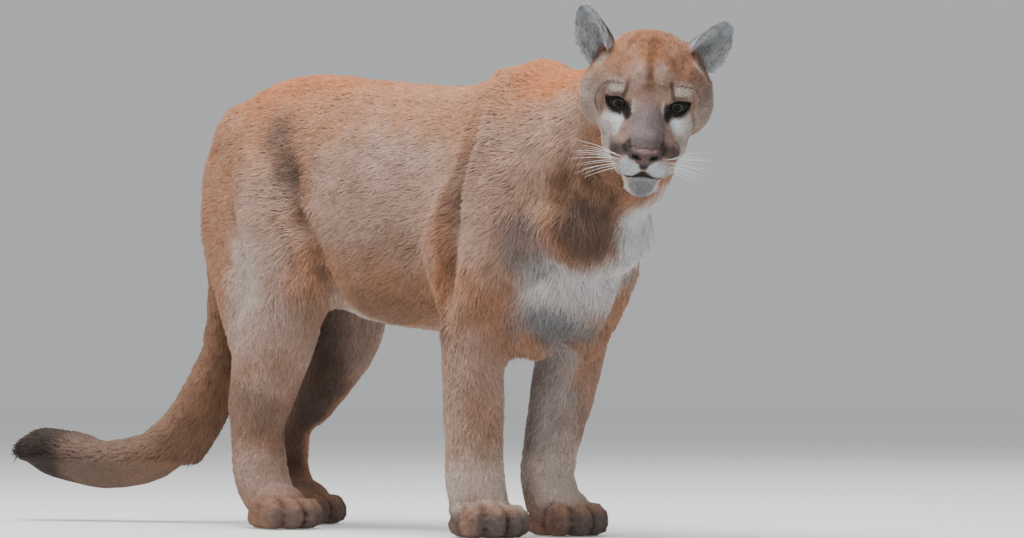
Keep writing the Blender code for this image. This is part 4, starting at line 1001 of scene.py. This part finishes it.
normals = normals_of(paw_skin)
stance = points_of(paw_skin) - np.array(HOME)
lie = np.tile((0.1, 0.0, -1.0), (len(stance), 1))
lie += np.array([0.9, 0.0, 0.45]) * (1 - rise(stance[:, 2], 0.04, 0.085))[:, None]
edges = edges_of(paw_skin)
for _ in range(8):
    lie = unit(lie - normals * (lie * normals).sum(1)[:, None])
    lie = 0.4 * lie + 0.6 * neighbour_mean(lie, edges)
corners, weights, chance, roots, out, way = rooted(paw_skin, paw_thickness, lie, normals, 9)
stance = roots - np.array(HOME)
high = rise(stance[:, 2], 0.035, 0.1)
way = turned(way, out, 0.25 * mottle(stance, 0.012, 28) + chance.normal(0, 0.22, len(roots)))
length = (0.0036 + 0.005 * high) * varied(chance, len(roots), 0.2)
lift = (0.0014 + 0.002 * high) / length * 0.62 * (1 + 0.4 * chance.random(len(roots)))
width = 0.0008 + 0.0005 * high + 0.0004 * chance.random(len(roots))
# darker in the clefts between the toes: painted shade
hollow = blend_at(paw_hollows[:, None], corners, weights)
colour = coat_colour(roots, out) * (1 - 0.85 * hollow)
shade = varied(chance, len(roots), 0.15)[:, None]
tip_colour = np.clip(colour * 1.15 * shade, 0.008, 1)
root_colour = np.clip(colour * 0.54 * shade, 0.008, 1)
label, patches = which_length(stance)
for k, leg in enumerate(("fore_leg_right", "fore_leg_left", "hind_leg_right", "hind_leg_left")):
    some = np.nonzero(label == k + 5)[0]
    tuft_mesh("fur_paw_" + PAWS[k], roots[some], out[some], way[some], length[some], width[some], lift[some],
              root_colour[some], tip_colour[some], patches[some])
print("paw tufts", len(roots))


# Coat of the head: finer and shorter hair than the body's, streaming from the nose back over face and
# skull; cheeks carry a longer ruff, and the cups of the ears long pale hair.
def head_thickness(points):
    """Tufts to a square metre: close on the face, closer on the muzzle, none behind the head."""
    local = head_coords(points)
    keep = 1 - rise(behind_face(points), 0.01, 0.024)
    eyes = [egg(local, (0.004, side * 0.0445, -0.0045), (0.03, 0.015, 0.0105)) for side in (-1, 1)]
    nose = egg(local, (0.074, 0, -0.057), (0.016, 0.024, 0.015))
    bare = (np.minimum(*eyes) < 1) | (nose < 1) | (mouth_line(local) > 0.25)
    return HEAD_TUFTS * keep * ~bare * (1 + 0.7 * rise(local[:, 0], -0.02, 0.04))


def lie_of_head(hide, local, normals):
    """The way the hair lies on the head: away from the nose, up the ears from their roots."""
    way = local - np.array((0.09, 0.0, -0.05))
    way = unit(way)
    way[:, 2] += 0.25 * rise(local[:, 2], 0.0, 0.06) - 0.55 * rise(-local[:, 2], 0.03, 0.09)
    for name in EARS:
        up, across, ahead = ear_coords(local, name)
        root, tip, face = (np.array(part, float) for part in EARS[name])
        sideways = np.cross(unit(np.array([tip]))[0], unit(np.array([face]))[0])
        ear = rise(up, -0.004, 0.01) * (np.abs(across) < 0.048) * (np.abs(ahead) < 0.055)
        grown = tip[None, :] + sideways[None, :] * np.sign(local[:, 1:2]) * -0.25
        way += (unit(grown) - way) * ear[:, None]
    way = way @ FACE_AXES.T
    edges = edges_of(hide)
    for _ in range(5):
        way = way - normals * (way * normals).sum(1)[:, None]
        way = 0.4 * unit(way) + 0.6 * neighbour_mean(unit(way), edges)
    return unit(way - normals * (way * normals).sum(1)[:, None])


normals = normals_of(head_skin)
local = head_coords(points_of(head_skin))
lie = lie_of_head(head_skin, local, normals)
corners, weights, chance, roots, out, way = rooted(head_skin, head_thickness, lie, normals, 11)
local = head_coords(roots)
depth = face_depth(local, roots)
ears = on_ears(local)
cup = np.zeros(len(roots))
for name in EARS:
    up, across, ahead = ear_coords(local, name)
    facing = cup_way(name)
    within = (np.abs(across) < 0.045) * (np.abs(ahead) < 0.05)
    cup = np.maximum(cup, rise(out @ facing, 0.0, 0.3) * within * ears)
tip_near = 1 - 0.9 * np.maximum(*[rise(ear_coords(local, name)[0], 0.034, 0.056) for name in EARS])
ruff = (rise(np.abs(local[:, 1]), 0.06, 0.085) * (1 - rise(local[:, 2], 0.03, 0.05))
        * rise(-local[:, 0], 0.0, 0.04))
under_jaw = rise(-local[:, 2], 0.095, 0.115)
ruffle = mottle(local, 0.016, 25) + 0.7 * mottle(local, 0.007, 26)
way = turned(way, out, 0.28 * ruffle + chance.normal(0, 0.2, len(roots)))
length = 0.0024 + depth * 1.9 + 0.005 * ruff + 0.004 * under_jaw
length = length + cup * (0.003 + 0.005 * chance.random(len(roots))) * tip_near
length = length * varied(chance, len(roots), 0.2) * (1 - 0.45 * ears * (1 - cup))
lift = (depth + 0.0022 * ruff + 0.0014 * under_jaw + 0.0026 * cup) / length * 0.62
lift = lift * (1 + 0.4 * chance.random(len(roots)))
lift = np.minimum(lift, 0.42)
width = 0.0006 + depth * 0.16 + 0.0003 * chance.random(len(roots))
# darker in the hollows of the muzzle: painted shade
hollow = blend_at(head_hollows[:, None], corners, weights)
colour = coat_colour(roots, out) * (1 - 0.4 * hollow)
pale_hair = (cup * (chance.random(len(roots)) < 0.85))[:, None]
colour = colour + (np.array((0.74, 0.78, 0.82)) - colour) * pale_hair * (0.35 + 0.45 * tip_near[:, None])
shade = (varied(chance, len(roots), 0.15) + 0.08 * mottle(local, 0.006, 27))[:, None]
tip_colour = np.clip(colour * 1.18 * shade, 0.008, 1)
root_colour = np.clip(colour * 0.66 * shade, 0.008, 1)
around = np.arctan2(local[:, 1], local[:, 2] + 0.03) / (2 * math.pi) + 0.5
patches = np.stack([0.755 + 0.235 * around, 0.02 + 0.94 * rise(-local[:, 0], -0.09, 0.2)], 1)
patches[:, 0] = np.where(ears > 0.5, 0.755 + 0.235 * rise(local[:, 2], 0.03, 0.12), patches[:, 0])
sheets = math.ceil(len(roots) * 4 / 190000)
order = np.argsort(local[:, 0], kind="stable")
for k, some in enumerate(np.array_split(order, sheets)):
    tuft_mesh(f"fur_head_{k + 1}", roots[some], out[some], way[some], length[some], width[some], lift[some],
              root_colour[some], tip_colour[some], patches[some])
print("head tufts", len(roots))


# Eyes: glass balls with a greenish iris round a dark pupil, set in the sockets and looking straight
# ahead, each framed by the thick dark rim of its lids.
iris = bpy.data.materials.new("eye glass")
iris.use_nodes = True
glass = iris.node_tree.nodes["Principled BSDF"]
glass.inputs["Roughness"].default_value = 0.5
glass.inputs["Specular IOR Level"].default_value = 0.0
glass.inputs["Coat Weight"].default_value = 0.25
glass.inputs["Coat Roughness"].default_value = 0.02
rings_place = iris.node_tree.nodes.new("ShaderNodeUVMap")
rings_place.uv_map = "UVMap"
parts = iris.node_tree.nodes.new("ShaderNodeSeparateXYZ")
rings = iris.node_tree.nodes.new("ShaderNodeValToRGB")
for position, tint in ((0.0, (0.012, 0.009, 0.007)), (0.8, (0.014, 0.011, 0.009)),
                       (0.838, (0.003, 0.003, 0.003)), (0.852, (0.018, 0.019, 0.014)),
                       (0.87, (0.034, 0.036, 0.028)), (0.897, (0.05, 0.051, 0.038)),
                       (0.908, (0.03, 0.028, 0.02)), (0.914, (0.001, 0.001, 0.001))):
    step = rings.color_ramp.elements.new(position) if position else rings.color_ramp.elements[0]
    step.color = (*tint, 1)
rings.color_ramp.elements[-1].color = (0.001, 0.001, 0.001, 1)
iris.node_tree.links.new(rings_place.outputs["UV"], parts.inputs["Vector"])
iris.node_tree.links.new(parts.outputs["Y"], rings.inputs["Fac"])
iris.node_tree.links.new(rings.outputs["Color"], glass.inputs["Base Color"])
rim_skin, rim_shader = plain_finish("lid rim", (0.006, 0.005, 0.005), 0.75)
rim_shader.inputs["Specular IOR Level"].default_value = 0.12
for side, name in ((1, "left"), (-1, "right")):
    middle = BROW_POINT + FACING @ Vector((EYE_MIDDLE[0], side * EYE_MIDDLE[1], EYE_MIDDLE[2]))
    gaze = (FACING @ Vector((1.0, side * 0.01, -0.04))).normalized()
    turn = gaze.to_track_quat("Z", "Y").to_euler()
    bpy.ops.mesh.primitive_uv_sphere_add(segments=64, ring_count=40, radius=EYE_RADIUS - 0.0001,
                                         location=middle, rotation=turn)
    ball = bpy.context.object
    ball.name = "eyeball_" + name
    bpy.ops.object.transform_apply(location=True, rotation=True, scale=True)
    bpy.ops.object.shade_smooth()
    ball.data.materials.append(iris)
    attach(ball, "root")
    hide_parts("eye_" + name)
    bpy.ops.mesh.primitive_torus_add(major_segments=64, minor_segments=10, major_radius=0.02,
                                     minor_radius=0.001)
    rim = bpy.context.object
    rim.name = "lid_rim_" + name
    flat = LIDS * (side, 1)
    height = EYE_RADIUS ** 2 - (flat[:, 0] - side * EYE_MIDDLE[1]) ** 2 - (flat[:, 1] - EYE_MIDDLE[2]) ** 2
    ahead = EYE_MIDDLE[0] + np.sqrt(np.maximum(height, 0.00006)) + 0.0006
    line = np.c_[ahead, flat]
    outward = unit(line - np.array(EYE_MIDDLE) * (1, side, 1))
    along = unit(np.roll(line, -1, axis=0) - np.roll(line, 1, axis=0))
    across = unit(np.cross(outward, along))
    thick = 0.0014 + 0.0011 * rise(line[:, 2], -0.006, 0.002)
    angle = np.arange(10) * 2 * math.pi / 10
    tube = (line[:, None, :] + across[:, None, :] * (np.cos(angle)[None, :] * thick[:, None])[:, :, None]
            + outward[:, None, :] * (np.sin(angle)[None, :] * thick[:, None])[:, :, None])
    put_points(rim, to_world(tube.reshape(-1, 3)))
    bpy.ops.object.mode_set(mode="EDIT")
    bpy.ops.mesh.select_all(action="SELECT")
    bpy.ops.mesh.normals_make_consistent(inside=False)
    bpy.ops.object.mode_set(mode="OBJECT")
    bpy.ops.object.shade_smooth()
    rim.data.materials.append(rim_skin)
    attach(rim, "root")


# Nose: a soft pad of bare ruddy leather with a comma-shaped nostril on each side and a cleft below,
# sitting in a shallow bed at the end of the muzzle.
nose = copies_of(["nose"], "nose_leather", 0.0006)
grow_together(nose, 0.0009)
even_out(nose, np.full(len(nose.data.vertices), 0.6), 6)
points, normals = points_of(nose), normals_of(nose)
local = head_coords(points)
for side in (-1, 1):
    far = distance_to_line(local, [(0.082, side * 0.0095, -0.059), (0.079, side * 0.0155, -0.057),
                                   (0.071, side * 0.023, -0.053)])[0]
    points -= normals * (0.0052 * np.exp(-(far / 0.003) ** 2))[:, None]
    far = distance_to_line(local, [(0.084, side * 0.003, -0.053), (0.08, side * 0.015, -0.05)])[0]
    points += normals * (0.001 * np.exp(-(far / 0.0045) ** 2))[:, None]
far = distance_to_line(local, [(0.086, 0.0, -0.05), (0.084, 0.0, -0.076)])[0]
points -= normals * (0.002 * np.exp(-(far / 0.0014) ** 2))[:, None]
put_points(nose, points)
colour = np.tile((0.075, 0.03, 0.028), (len(points), 1))
# Along the top of the pad a lighter band is a painted highlight; the near-black in each nostril is painted
# shade.
for centre, radii, tint, strength, sides in (
        ((0.084, 0.0, -0.0475), (0.012, 0.018, 0.0038), (0.19, 0.1, 0.095), 0.8, (1,)),
        ((0.082, 0.0, -0.072), (0.01, 0.02, 0.006), (0.012, 0.009, 0.009), 0.9, (1,)),
        ((0.07, 0.024, -0.055), (0.012, 0.008, 0.012), (0.03, 0.022, 0.022), 0.9, (1, -1)),
        ((0.079, 0.0145, -0.058), (0.009, 0.007, 0.0036), (0.006, 0.004, 0.004), 1.0, (1, -1))):
    for side in sides:
        spot = (centre[0], side * centre[1], centre[2])
        lay_patch(colour, local, spot, radii, tint, strength, rough=0.1)
wear_colours(nose, colour)
bpy.ops.object.shade_smooth()
leather = coat_finish("nose leather", 0.42, 0.0, 1400.0)
leather.node_tree.nodes["Principled BSDF"].inputs["Specular IOR Level"].default_value = 0.5
nose.data.materials.append(leather)
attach(nose, "root")
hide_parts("nose")


# Whiskers: long tapering white bristles in rows on each lip pad, swept out and back, with a few
# shorter ones over each eye.
def bristle(root, way, length, bend, thickness):
    """Rings of a tapering bent bristle, closed at both ends: points and faces."""
    share = np.linspace(0, 1, 9)
    way, bend = np.array(way, float), np.array(bend, float)
    line = np.array(root) + way * (share * length)[:, None] + bend * ((share ** 2) * length)[:, None]
    along = unit(np.gradient(line, axis=0))
    side = unit(np.cross(along, (0.1, 0.2, 1.0)))
    up = np.cross(side, along)
    angle = np.arange(5) * 2 * math.pi / 5
    radius = thickness * (1 - 0.85 * share)
    rings = (line[:, None] + side[:, None] * (np.cos(angle) * radius[:, None])[:, :, None]
             + up[:, None] * (np.sin(angle) * radius[:, None])[:, :, None])
    faces = [(r * 5 + k, r * 5 + (k + 1) % 5, r * 5 + 5 + (k + 1) % 5, r * 5 + 5 + k)
             for r in range(8) for k in range(5)]
    return rings.reshape(-1, 3), faces + [(4, 3, 2, 1, 0), (40, 41, 42, 43, 44)]


bristles = np.random.default_rng(5)
rows = []
for side in (-1, 1):
    for row, (height, count) in enumerate(((-0.064, 3), (-0.069, 4), (-0.0745, 4), (-0.08, 3))):
        for k in range(count):
            root = (0.062 - 0.0085 * k, side * (0.033 + 0.004 * k), height - 0.0012 * k)
            way = (-0.3 - 0.12 * k + 0.06 * bristles.random(), side * 0.95,
                   0.1 - 0.17 * row + 0.1 * bristles.random())
            rows.append((root, unit(np.array([way]))[0], 0.05 + 0.006 * k + 0.012 * bristles.random(),
                         (-0.16, 0.0, -0.16 - 0.1 * bristles.random()), 0.00042))
    for k in range(4):
        root = (0.002, side * (0.036 + 0.005 * k), 0.02)
        way = unit(np.array([(0.35, side * (0.1 + 0.12 * k), 0.8)]))[0]
        rows.append((root, way, 0.02, (-0.35, 0, 0.0), 0.00016))
points, faces = [], []
for root, way, length, bend, thickness in rows:
    spots, sides = bristle(root, way, length, bend, thickness)
    faces += [tuple(45 * len(points) + i for i in face) for face in sides]
    points.append(spots)
points = to_world(np.concatenate(points))
mesh = bpy.data.meshes.new("whiskers")
mesh.from_pydata(points.tolist(), [], faces)
whiskers = bpy.data.objects.new("whiskers", mesh)
bpy.context.collection.objects.link(whiskers)
mesh.polygons.foreach_set("use_smooth", np.ones(len(mesh.polygons), bool))
mesh.materials.append(plain_finish("whisker horn", (0.85, 0.86, 0.86), 0.4)[0])
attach(whiskers, "root")
